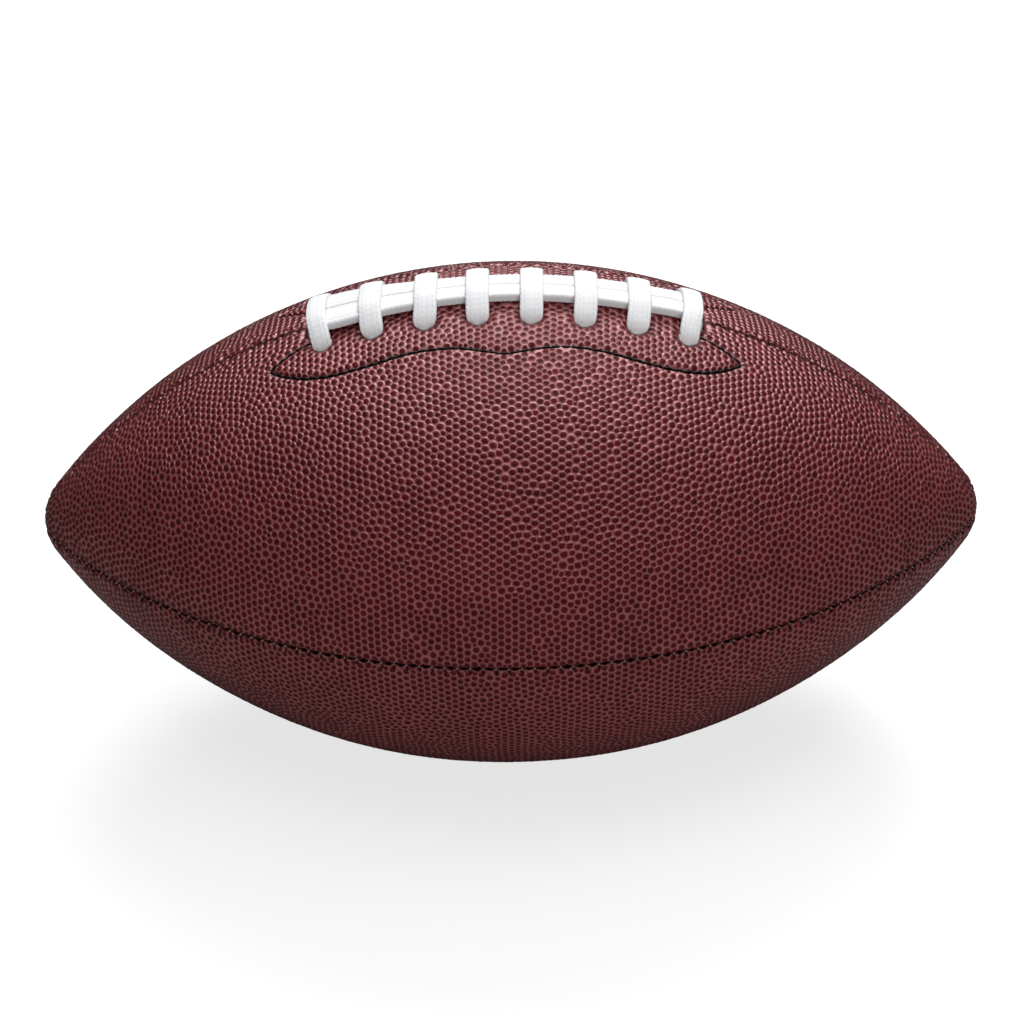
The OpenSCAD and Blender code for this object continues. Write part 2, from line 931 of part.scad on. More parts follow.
panel_front_upper();
panel_front_lower();
panel_back_upper();
panel_back_lower();
lining_front_upper();
lining_front_lower();
lining_back_upper();
lining_back_lower();
seam_thread_front();
seam_thread_back();
seam_thread_bottom();
seam_thread_top();
facing_front();
facing_back();
facing_stitch_front();
facing_stitch_back();
lace();
bladder_guard();
bladder();
valve_housing();
valve_core();
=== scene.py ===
import math

import bpy
import numpy as np
from mathutils import Matrix, Vector
from mathutils.geometry import delaunay_2d_cdt


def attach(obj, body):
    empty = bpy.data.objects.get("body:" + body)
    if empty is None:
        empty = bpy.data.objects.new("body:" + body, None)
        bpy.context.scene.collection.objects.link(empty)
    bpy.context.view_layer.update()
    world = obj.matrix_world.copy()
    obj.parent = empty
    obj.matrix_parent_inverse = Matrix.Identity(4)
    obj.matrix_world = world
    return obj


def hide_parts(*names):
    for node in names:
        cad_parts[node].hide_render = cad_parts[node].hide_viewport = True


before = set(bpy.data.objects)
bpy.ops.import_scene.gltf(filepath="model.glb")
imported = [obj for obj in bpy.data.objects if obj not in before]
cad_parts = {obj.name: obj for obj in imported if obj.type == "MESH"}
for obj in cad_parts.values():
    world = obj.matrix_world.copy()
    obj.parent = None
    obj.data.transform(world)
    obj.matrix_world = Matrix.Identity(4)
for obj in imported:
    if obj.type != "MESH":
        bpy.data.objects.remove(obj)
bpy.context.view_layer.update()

# Sizes named in the part's source, in millimetres
BALL_LEN = 280.0
BALL_D = 150.0
TIP_R = 16.5
STITCH_PITCH = 3.55
CROSS_COUNT = 8
CROSS_PITCH = 14.9
HOLE_OFF = 11.2
HOLE_R = 2.4
NECK_R = 1.95
CROSS_W = 6.8
CROSS_T = 2.2
CROSS_BOW = 1.2
STRAND_W = 5.0
STRAND_T = 2.6
LACE_GAP = 0.55
INNER_W = 4.8
INNER_T = 2.4
INNER_ROOM = 0.3
LACE_TURN = 1.9
DIP_RUN = 8.0
SLOT_BEYOND = 3.3
SLOT_ROOM = 0.9
TAIL_LEN = 11.0
LIP_H = 1.2
LIP_R = 4.5
LIP_ROOT = 0.5
LIP_GAP = 0.08
LIP_BACK = 4.6
FACING_REACH = 25.0
HORN_REACH = 15.5

# Cover and lining together, and the hole round the valve's stem
SKIN = 3.1
VALVE_HOLE_R = 4.15

# The ball's profile: one long arc of radius SIDE_R, which meets the arc of each tip at JOIN_S
MM = 0.001
QUARTER = math.pi / 2
BALL_R = BALL_D / 2
TIP_X = BALL_LEN / 2 - TIP_R
SIDE_R = (TIP_X**2 + BALL_R**2 - TIP_R**2) / (2 * (BALL_R - TIP_R))
SIDE_LOW = SIDE_R - BALL_R
JOIN_ANGLE = math.atan2(TIP_X, SIDE_LOW)
JOIN_S = SIDE_R * JOIN_ANGLE

# Places of the lacing. The holes and the cross laces are seen a little off the source's middle lines.
LAST_HOLE = (CROSS_COUNT - 1) / 2 * CROSS_PITCH
HOLE_SEEN = HOLE_OFF - 0.3
MOUTH_R = HOLE_R - 0.1
SLOT_S = LAST_HOLE + SLOT_BEYOND
SLOT_HALF = STRAND_T / 2 + SLOT_ROOM
STRAND_U = (STRAND_W + LACE_GAP) / 2
SLOT_WIDE = STRAND_U + STRAND_W / 2 + SLOT_ROOM / 2
OPEN_END = SLOT_S + SLOT_HALF + 2.1
LIP_END = LAST_HOLE - LIP_BACK
LIP_DOWN = LIP_R - LIP_H
LIP_OFF = math.sqrt(LIP_R**2 - (LIP_DOWN - LIP_ROOT) ** 2) + LIP_GAP
STRAND_V = LIP_H + LIP_GAP + STRAND_T / 2
CROSS_V = STRAND_V + STRAND_T / 2 + LACE_GAP + CROSS_T / 2
CROSS_SEEN = CROSS_V - 0.8
INNER_V = -(SKIN + INNER_ROOM + INNER_T / 2)
HORN_S = LAST_HOLE + HORN_REACH

# Right half of the stitched outline, in shares of HORN_S and FACING_REACH, from the seam to the middle
OUTLINE = [
    (0.775, 0.31),
    (0.827, 0.36),
    (0.910, 0.44),
    (0.968, 0.535),
    (1.000, 0.61),
    (0.965, 0.705),
    (0.915, 0.80),
    (0.820, 0.92),
    (0.700, 0.975),
    (0.560, 0.955),
    (0.430, 0.90),
    (0.310, 0.875),
    (0.195, 0.892),
    (0.095, 0.95),
    (0.000, 1.00),
]


# Places on the ball: s along the laced seam, u across it or an angle about the axis, and v outward


def columns(*parts):
    return np.stack(np.broadcast_arrays(*parts), -1)


def joined(*parts):
    return np.concatenate(parts)


def lean_of(s):
    """The lean of the outward direction towards the tip, at a length s from the middle."""
    far = np.abs(s)
    return np.sign(s) * np.where(far <= JOIN_S, far / SIDE_R, JOIN_ANGLE + (far - JOIN_S) / TIP_R)


def along(s, v):
    """How far along the axis a place lies."""
    lean = lean_of(s)
    in_tip = np.sign(s) * TIP_X + (TIP_R + v) * np.sin(lean)
    return np.where(np.abs(s) <= JOIN_S, (SIDE_R + v) * np.sin(lean), in_tip)


def out(s, v):
    """How far from the axis a place lies."""
    lean = lean_of(s)
    return np.where(np.abs(s) <= JOIN_S, (SIDE_R + v) * np.cos(lean) - SIDE_LOW, (TIP_R + v) * np.cos(lean))


def spot(s, angle, v):
    """Points in the shared frame, in millimetres. The angle runs about the axis, from the top forwards."""
    from_axis = out(s, v)
    return columns(along(s, v), -from_axis * np.sin(angle), BALL_R + from_axis * np.cos(angle))


def spot_u(s, u, v):
    return spot(s, u / out(s, 0.0), v)


def run_length(points):
    """The length from the first point to each point of a run."""
    return joined([0], np.cumsum(np.linalg.norm(np.diff(points, axis=0), axis=1)))


def smoothstep(x, low, high):
    t = np.clip((x - low) / (high - low), 0, 1)
    return t * t * (3 - 2 * t)


def bell(x, reach):
    return np.exp(-((x / reach) ** 2))


def fade(x, reach):
    return np.exp(-np.maximum(x, 0) / reach)


def mix(a, b, t):
    return a + (b - a) * t


def smooth_run(stations, counts):
    """A smooth curve through the stations, with counts[i] steps from station i to the next."""
    p = np.asarray(stations, float)
    last = len(p) - 1
    found = []
    for i, count in enumerate(counts):
        a, b, c, d = p[max(i - 1, 0)], p[i], p[i + 1], p[min(i + 2, last)]
        t = (np.arange(count) / count)[:, None]
        slope = (c - a) * t
        square = (2 * a - 5 * b + 4 * c - d) * t**2
        cube = (3 * b - a - 3 * c + d) * t**3
        found.append((2 * b + slope + square + cube) / 2)
    return joined(*found, p[-1:])


# Nodes of the materials


def put(shader, **sockets):
    """Sets sockets by name, with _ for a space."""
    for key, value in sockets.items():
        shader.inputs[key.replace("_", " ")].default_value = value


def node(tree, kind, **sockets):
    n = tree.nodes.new(kind)
    put(n, **sockets)
    return n


def link(start, end):
    start.id_data.links.new(start, end)


def new_material(name):
    m = bpy.data.materials.new(name)
    m.use_nodes = True
    return m, m.node_tree, m.node_tree.nodes["Principled BSDF"]


def ramp(tree, fac, stops):
    n = tree.nodes.new("ShaderNodeValToRGB")
    elements = n.color_ramp.elements
    while len(elements) > 1:
        elements.remove(elements[-1])
    elements[0].position = stops[0][0]
    elements[0].color = (*stops[0][1], 1)
    for at, colour in stops[1:]:
        elements.new(at).color = (*colour, 1)
    link(fac, n.inputs["Fac"])
    return n.outputs["Color"]


def mixed(tree, kind, fac, a, b):
    n = tree.nodes.new("ShaderNodeMix")
    n.data_type = "RGBA"
    n.blend_type = kind
    for value, socket in ((fac, n.inputs["Factor"]), (a, n.inputs["A"]), (b, n.inputs["B"])):
        if isinstance(value, bpy.types.NodeSocket):
            link(value, socket)
        else:
            socket.default_value = value
    return n.outputs["Result"]


def combined(tree, operation, a, b):
    n = tree.nodes.new("ShaderNodeMath")
    n.operation = operation
    link(a, n.inputs[0])
    link(b, n.inputs[1])
    return n.outputs[0]


def attribute(tree, name):
    n = tree.nodes.new("ShaderNodeAttribute")
    n.attribute_name = name
    return n.outputs["Fac"]


def noise(tree, scale, detail=3.0, rough=0.55):
    coordinates = tree.nodes.new("ShaderNodeTexCoord")
    n = node(tree, "ShaderNodeTexNoise", Scale=scale, Detail=detail, Roughness=rough)
    link(coordinates.outputs["Object"], n.inputs["Vector"])
    return n.outputs["Fac"]


def mapped(tree, fac, low, high, to_low, to_high):
    n = node(tree, "ShaderNodeMapRange", From_Min=low, From_Max=high, To_Min=to_low, To_Max=to_high)
    link(fac, n.inputs["Value"])
    return n.outputs["Result"]


def bumped(tree, shader, height, strength, distance):
    n = node(tree, "ShaderNodeBump", Strength=strength, Distance=distance)
    link(height, n.inputs["Height"])
    link(n.outputs["Normal"], shader.inputs["Normal"])


# Materials of the seen pieces. Colour ramps on "rad" run from a pebble's middle, 0, over the dark edge of its
# flat top to the pale net between the pebbles, 1.
PEBBLE_COLOURS = [
    (0.00, (0.125, 0.009, 0.014)),
    (0.34, (0.090, 0.006, 0.010)),
    (0.55, (0.036, 0.003, 0.004)),
    (0.67, (0.012, 0.002, 0.002)),
    (0.75, (0.086, 0.015, 0.017)),
    (0.85, (0.165, 0.037, 0.040)),
    (0.94, (0.300, 0.070, 0.074)),
    (1.00, (0.345, 0.082, 0.086)),
]
FLAT_LEATHER = (0.105, 0.015, 0.018, 1)
# Painted shade: the colour that the leather takes where it lies deep in seams, puckers, dips and grooves
DEPTH_SHADE_COLOUR = (0.008, 0.004, 0.004, 1)
LEATHER_GLINT = (1.0, 0.60, 0.61, 1)


def leather():
    m, tree, shader = new_material("pebbled_leather")
    rad = attribute(tree, "rad")
    cell = ramp(tree, rad, PEBBLE_COLOURS)
    colour = mixed(tree, "MIX", attribute(tree, "pebble"), FLAT_LEATHER, cell)
    patches = ramp(tree, noise(tree, 38.0), [(0.3, (0.90, 0.87, 0.90)), (0.7, (1.08, 1.08, 1.06))])
    colour = mixed(tree, "MULTIPLY", 1.0, colour, patches)
    tone = ramp(tree, attribute(tree, "tone"), [(0.0, (0.78, 0.74, 0.76)), (1.0, (1.2, 1.16, 1.12))])
    colour = mixed(tree, "MULTIPLY", 1.0, colour, tone)
    # Painted shade darkens the leather by how deep it lies
    colour = mixed(tree, "MIX", attribute(tree, "depth_shade"), colour, DEPTH_SHADE_COLOUR)
    link(colour, shader.inputs["Base Color"])
    # The pebbles' tops are matt, and their edges and the net catch the light
    link(mapped(tree, rad, 0.50, 0.64, 0.05, 1.0), shader.inputs["Specular IOR Level"])
    put(shader, Specular_Tint=LEATHER_GLINT, IOR=1.65)
    rough = mapped(tree, rad, 0.55, 0.75, 0.50, 0.36)
    wear = mapped(tree, noise(tree, 900.0, 4.0, 0.6), 0.3, 0.7, -0.05, 0.07)
    link(combined(tree, "ADD", rough, wear), shader.inputs["Roughness"])
    bumped(tree, shader, noise(tree, 1500.0, 3.0, 0.6), 0.35, 0.00006)
    return m


def braid():
    """White lace, with painted shade that makes it greyer down between its ribs and stitches."""
    m, tree, shader = new_material("braided_lace")
    whites_with_hollow_shade = [(0.0, (0.68, 0.682, 0.695)), (0.4, (0.83, 0.832, 0.838)), (1.0, (0.89, 0.89, 0.89))]
    # Painted shade: the lace is greyer and a little bluer where its relief lies low
    colour = ramp(tree, attribute(tree, "rib"), whites_with_hollow_shade)
    soil = ramp(tree, noise(tree, 120.0), [(0.3, (0.94, 0.95, 0.97)), (0.7, (1.0, 1.0, 1.0))])
    link(mixed(tree, "MULTIPLY", 1.0, colour, soil), shader.inputs["Base Color"])
    fibres = mapped(tree, noise(tree, 2600.0, 3.0, 0.6), 0.25, 0.75, 0.62, 0.85)
    link(fibres, shader.inputs["Roughness"])
    put(shader, Sheen_Weight=0.25, Sheen_Roughness=0.5, Specular_IOR_Level=0.3)
    bumped(tree, shader, noise(tree, 2200.0, 3.0, 0.65), 0.5, 0.00012)
    return m


def thread():
    """Dark waxed thread, painted slightly darker down between its plies. Ply values above a half are painted
    glints on the tops of the seams' stitches.
    """
    m, tree, shader = new_material("dark_thread")
    darks = [(0.0, (0.002, 0.001, 0.001)), (0.5, (0.007, 0.004, 0.004))]
    # Painted glints: the pale stops are the stitches' highlights over the seam's gap
    painted_glints = [(0.6, (0.10, 0.07, 0.07)), (1.0, (0.40, 0.32, 0.32))]
    link(ramp(tree, attribute(tree, "ply"), darks + painted_glints), shader.inputs["Base Color"])
    link(mapped(tree, noise(tree, 1800.0), 0.3, 0.7, 0.22, 0.42), shader.inputs["Roughness"])
    put(shader, Specular_IOR_Level=0.12)
    bumped(tree, shader, noise(tree, 3000.0, 2.0, 0.6), 0.4, 0.00005)
    return m


# Materials of the hidden pieces


def woven(name, dark, light, scale, rough):
    """Cloth of two crossing sets of yarns."""
    m, tree, shader = new_material(name)
    coordinates = tree.nodes.new("ShaderNodeTexCoord")
    waves = []
    for direction in ("X", "Y"):
        wave = node(tree, "ShaderNodeTexWave", Scale=scale, Distortion=0.6, Detail=2.0)
        wave.bands_direction = direction
        link(coordinates.outputs["Object"], wave.inputs["Vector"])
        waves.append(wave.outputs["Fac"])
    yarn = combined(tree, "MAXIMUM", *waves)
    colour = ramp(tree, yarn, [(0.2, dark), (0.9, light)])
    spots = ramp(tree, noise(tree, 60.0), [(0.3, (0.85, 0.85, 0.85)), (0.7, (1.08, 1.08, 1.08))])
    link(mixed(tree, "MULTIPLY", 1.0, colour, spots), shader.inputs["Base Color"])
    link(mapped(tree, yarn, 0.0, 1.0, rough + 0.08, rough - 0.06), shader.inputs["Roughness"])
    bumped(tree, shader, yarn, 0.5, 0.0002)
    return m


def rubber(name, dark, light, rough):
    m, tree, shader = new_material(name)
    colour = ramp(tree, noise(tree, 90.0), [(0.3, dark), (0.7, light)])
    link(colour, shader.inputs["Base Color"])
    wear = mapped(tree, noise(tree, 700.0), 0.3, 0.7, rough - 0.08, rough + 0.08)
    link(wear, shader.inputs["Roughness"])
    bumped(tree, shader, noise(tree, 1600.0), 0.25, 0.00005)
    return m


LEATHER = leather()
BRAID = braid()
THREAD = thread()


def new_object(name, data):
    found = bpy.data.objects.new(name, data)
    bpy.context.scene.collection.objects.link(found)
    return found


def mesh_piece(name, points, faces, material, values, replaced, uv=None):
    """A piece from points in millimetres, arrays of faces and the values that its material reads."""
    mesh = bpy.data.meshes.new(name)
    counts = joined(*(np.full(len(f), f.shape[1]) for f in faces))
    corners = joined(*(f.reshape(-1) for f in faces))
    mesh.vertices.add(len(points))
    mesh.vertices.foreach_set("co", (points * MM).astype(np.float32).reshape(-1))
    mesh.loops.add(len(corners))
    mesh.loops.foreach_set("vertex_index", corners.astype(np.int32))
    mesh.polygons.add(len(counts))
    starts = joined([0], np.cumsum(counts)[:-1])
    mesh.polygons.foreach_set("loop_start", starts.astype(np.int32))
    mesh.update(calc_edges=True)
    for key, value in values.items():
        layer = mesh.attributes.new(key, "FLOAT", "POINT")
        layer.data.foreach_set("value", value.astype(np.float32))
    if uv is not None:
        layer = mesh.uv_layers.new(name="OFBake")
        layer.data.foreach_set("uv", uv(corners, counts).astype(np.float32).reshape(-1))
    mesh.validate()
    mesh.shade_smooth()
    mesh.materials.append(material)
    piece = new_object(name, mesh)
    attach(piece, "root")
    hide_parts(*replaced)


# Pebbles. They are the cells round relaxed sites, laid out in a flat map of the panel that keeps angles. Each
# has a top of the share RING_IN of its reach, and slopes over RING_OUT down to the net between the pebbles.
PITCH = 2.18
SCATTER = 0.21
SITE_CLEAR = 0.42
RELAX_TURNS = 14
RING_OUT = 0.87
RING_IN = 0.62
ROUNDING_OUT = 0.6
ROUNDING_IN = 0.9
ROUND_REACH = 0.96
OWN_SIZE = 0.1
MOST_SWOLLEN = 1.08
PEBBLE_H = 0.36
PEBBLE_RISE = [1.0, 0.95, 0.48, 0.0]
PEBBLE_UNEVEN = 0.06
NET_V = -0.14

# Sewn edges turn down into the seams as arcs, whose centres lie EDGE_C from the seam's middle. TURN_OVER is
# what the turn adds to the leather's length. WALL_IN is the depth of the panel's walls.
EDGE_R = 1.0
EDGE_C = 0.955
ARC_FROM = math.acos(EDGE_C / EDGE_R)
ARC_LEN = EDGE_R * (QUARTER - 2 * ARC_FROM)
ARC_D = EDGE_C - EDGE_R * math.sin(ARC_FROM)
TURN_OVER = ARC_LEN - ARC_D
WALL_IN = 3.5

# Points along the panels' borders: between two stitches, across a panel's end and round a hole
EDGE_POINTS = 6
EDGE_STEP = 1.05
HOLE_POINTS = 24

# Sewn edges part by an uneven gap between the stitches, less towards the tips. The leather is puckered in at
# each stitch, with finer creases between, and swells beside the seam. The whole cover waves a little, and
# LIP_BLEND is how softly the lip joins it.
EDGE_EASE = 0.03
PART_LEAST = 0.05
PART_EVEN = 0.50
PART_UNEVEN = 0.50
PART_REACH = 0.8
PART_AT_TIP = 0.35
TIP_REACH = 25
PUCKER = 0.30
PUCKER_UNEVEN = 0.30
PUCKER_REACH = 2.2
CREASE = 0.24
CREASE_FROM = 0.4
CREASE_REACH = 1.3
SWELL = 0.18
SWELL_AT = 1.8
SWELL_REACH = 1.4
WAVE = 0.10
LIP_BLEND = 0.3

# Leather drawn in at the lace holes, the valve, the end slots and the groove of the stitched outline
HOLE_PULL = 0.75
VALVE_PULL = 0.25
HOLE_PULL_REACH = 0.9
HOLE_RIM = 0.22
HOLE_RIM_AT = 3.2
HOLE_RIM_REACH = 1.6
SLOT_PULL = 0.5
SLOT_PULL_REACH = 0.8
GROOVE = 0.7
GROOVE_REACH = 0.80
GROOVE_RIM = 0.12
GROOVE_RIM_AT = 1.8
GROOVE_RIM_REACH = 0.9
SEAM_STAND = 0.35

# The flat map, with the scale GROWTH. The panel ends at S_CUT, at TIP_CUT_R from the axis.
TIP_CUT_R = 1.5
S_CUT = JOIN_S + TIP_R * (math.acos(TIP_CUT_R / TIP_R) - JOIN_ANGLE)
TABLE_S = np.linspace(-S_CUT - 1, S_CUT + 1, 6001)
GROWTH = BALL_R / out(TABLE_S, 0.0)
TABLE_X = joined([0], np.cumsum((GROWTH[1:] + GROWTH[:-1]) / 2 * np.diff(TABLE_S)))

# Margins and width of a panel's half in the layout for baking
BAKE_MARGIN_S = 2
BAKE_MARGIN_W = 3
BAKE_WIDE = 125


def to_map(s, t):
    return columns(np.interp(s, TABLE_S, TABLE_X), BALL_R * t)


def from_map(p):
    return np.interp(p[..., 0], TABLE_X, TABLE_S), p[..., 1] / BALL_R


def outline_run():
    right = [(a * HORN_S, b * FACING_REACH) for a, b in OUTLINE]
    return right + [(-a, b) for a, b in reversed(right[:-1])]


OUTLINE_SPANS = 2 * len(OUTLINE) - 2
OUTLINE_LINE = smooth_run(outline_run(), [8] * OUTLINE_SPANS)


def distance_to_outline(p):
    """Distance of each point, in s and u, to the stitched outline."""
    best = np.full(len(p), 1e9)
    for a, b in zip(OUTLINE_LINE[:-1], OUTLINE_LINE[1:]):
        d = b - a
        t = np.clip(((p - a) @ d) / (d @ d), 0, 1)
        best = np.minimum(best, np.hypot(*(p - a - t[:, None] * d).T))
    return best


def edge_turn(w):
    """Place and depth beside a seam for a length w along the leather, which is negative down in the seam."""
    angle = ARC_FROM + np.clip(w + TURN_OVER, 0, ARC_LEN) / EDGE_R
    down = w < ARC_D
    place = np.where(down, EDGE_C - EDGE_R * np.cos(angle), w)
    return place, np.where(down, EDGE_C - EDGE_R * np.sin(angle), 0.0)


def pulled(s):
    """How far the seam's edges part between the stitches, from 0 to 1."""
    return 0.5 - 0.5 * np.cos(2 * math.pi * s / STITCH_PITCH)


def edge_run(a, b, w, start=0.0):
    """Points along the panel from s = a to b, at a length w past the angle start."""
    step = STITCH_PITCH / EDGE_POINTS
    first, last = sorted((a, b))
    s = step * np.arange(math.ceil(first / step + 0.4), math.floor(last / step - 0.4) + 1)
    s = joined([a], s if b > a else s[::-1])
    return columns(s, start + w / out(s, 0.0))


def edge_climb(s, a, b):
    """Points across the panel at s, from a length a to b."""
    count = max(1, math.ceil(abs(b - a) / EDGE_STEP))
    w = np.linspace(a, b, count + 1)[:-1]
    return columns(s, w / out(s, 0.0))


def twin_sides(start, end, total):
    """For each side of the triangles, the same side of the triangle beyond it, or -1 at the border."""
    key = start.astype(np.int64) * total + end
    back = end.astype(np.int64) * total + start
    order = np.argsort(key)
    at = np.minimum(np.searchsorted(key[order], back), len(order) - 1)
    return np.where(key[order][at] == back, order[at], -1)


def cell_rings(points, tris):
    """The outer and inner ring of each cell, a point on every spoke to the middle of a triangle."""
    owner = tris.reshape(-1)
    spoke = np.repeat(points[tris].mean(1), 3, 0) - points[owner]
    reach = np.hypot(*spoke.T)
    number = np.maximum(np.bincount(owner, minlength=len(points)), 1)
    mean_reach = (np.bincount(owner, weights=reach, minlength=len(points)) / number)[owner]
    growth = np.interp(points[owner][:, 0], TABLE_X, GROWTH)
    usual = np.median(mean_reach / growth) * growth
    even_reach = mix(np.minimum(usual, MOST_SWOLLEN * mean_reach), mean_reach, OWN_SIZE)
    rings = []
    for share, rounding in ((RING_OUT, ROUNDING_OUT), (RING_IN, ROUNDING_IN)):
        length = share * np.minimum(mix(reach, even_reach * ROUND_REACH, rounding), reach)
        rings.append(points[owner] + spoke / np.maximum(reach, 1e-9)[:, None] * length[:, None])
    return rings


def cell_faces(tris, total, site_count):
    """The quads and triangles of a panel's top, and its border sides as two ends and the point half way.

    The points are counted in this order: those of the layout, the middles of the triangles, the outer ring,
    the inner ring and the halfway points of the border.
    """
    count = len(tris)
    first_middle = total
    first_outer = first_middle + count
    first_inner = first_outer + 3 * count
    first_half = first_inner + 3 * count
    start = tris.reshape(-1)
    end = np.roll(tris, -1, 1).reshape(-1)
    twin = twin_sides(start, end, total)
    shared = twin >= 0
    mine = np.flatnonzero(shared)
    other = twin[shared]
    next_corner = other // 3 * 3 + (other % 3 + 1) % 3
    centre = start[mine]
    cell = centre < site_count
    middle_a, middle_b = first_middle + other // 3, first_middle + mine // 3
    outer_a, outer_b = first_outer + next_corner, first_outer + mine
    inner_a, inner_b = first_inner + next_corner, first_inner + mine
    slopes = columns(middle_a, middle_b, outer_b, outer_a)[cell]
    shoulders = columns(outer_a, outer_b, inner_b, inner_a)[cell]
    tops = columns(centre, inner_a, inner_b)[cell]
    plain = columns(centre, middle_a, middle_b)[~cell]
    rim = np.flatnonzero(~shared)
    rim_start, rim_end = start[rim], end[rim]
    rim_middle = first_middle + rim // 3
    half = first_half + np.arange(len(rim))
    rim_a = columns(rim_start, half, rim_middle)
    rim_b = columns(half, rim_end, rim_middle)
    border = (rim_start, rim_end, half)
    return joined(slopes, shoulders), joined(tops, plain, rim_a, rim_b), border


def puckers(s, from_seam, uneven):
    """Height of the leather drawn in at the stitches and swollen between them."""
    at_stitch = (1 - pulled(s)) ** 6 * bell(np.maximum(from_seam, 0), PUCKER_REACH)
    crease = (0.5 + 0.5 * np.cos(4 * math.pi * s / STITCH_PITCH + 1.2 * np.sin(0.9 * s))) ** 3
    crease = crease * bell(np.maximum(from_seam - CREASE_FROM, 0), CREASE_REACH)
    swell = bell(from_seam - SWELL_AT, SWELL_REACH) * pulled(s)
    return SWELL * swell - (PUCKER + PUCKER_UNEVEN * uneven) * at_stitch - CREASE * crease


def with_lip(s, from_seam, v):
    """Joins the rolled lip along the open part of the laced seam smoothly to the leather."""
    past = np.maximum(np.abs(s) - LIP_END, 0)
    from_axis = np.hypot(past, from_seam - LIP_OFF)
    lip = -LIP_DOWN + np.sqrt(np.maximum(LIP_R**2 - from_axis**2, 0))
    h = np.clip(0.5 + 0.5 * (lip - v) / LIP_BLEND, 0, 1)
    return np.where(from_axis < LIP_R, v * (1 - h) + lip * h + LIP_BLEND * h * (1 - h), v)


def relax(points, tris, site_count):
    """Moves each site to the weighted middle of its triangles, so that the cells get more even."""
    corners = points[tris]
    arms = corners[:, 1:] - corners[:, :1]
    area = np.abs(arms[:, 0, 0] * arms[:, 1, 1] - arms[:, 0, 1] * arms[:, 1, 0])
    owner = tris.reshape(-1)
    weight = np.bincount(owner, np.repeat(area, 3), len(points))
    keep = (weight == 0) | (np.arange(len(points)) >= site_count)
    for axis in (0, 1):
        pull = np.bincount(owner, np.repeat(area * corners[..., axis].mean(1), 3), len(points))
        points[:, axis] = np.where(keep, points[:, axis], pull / np.maximum(weight, 1e-12))


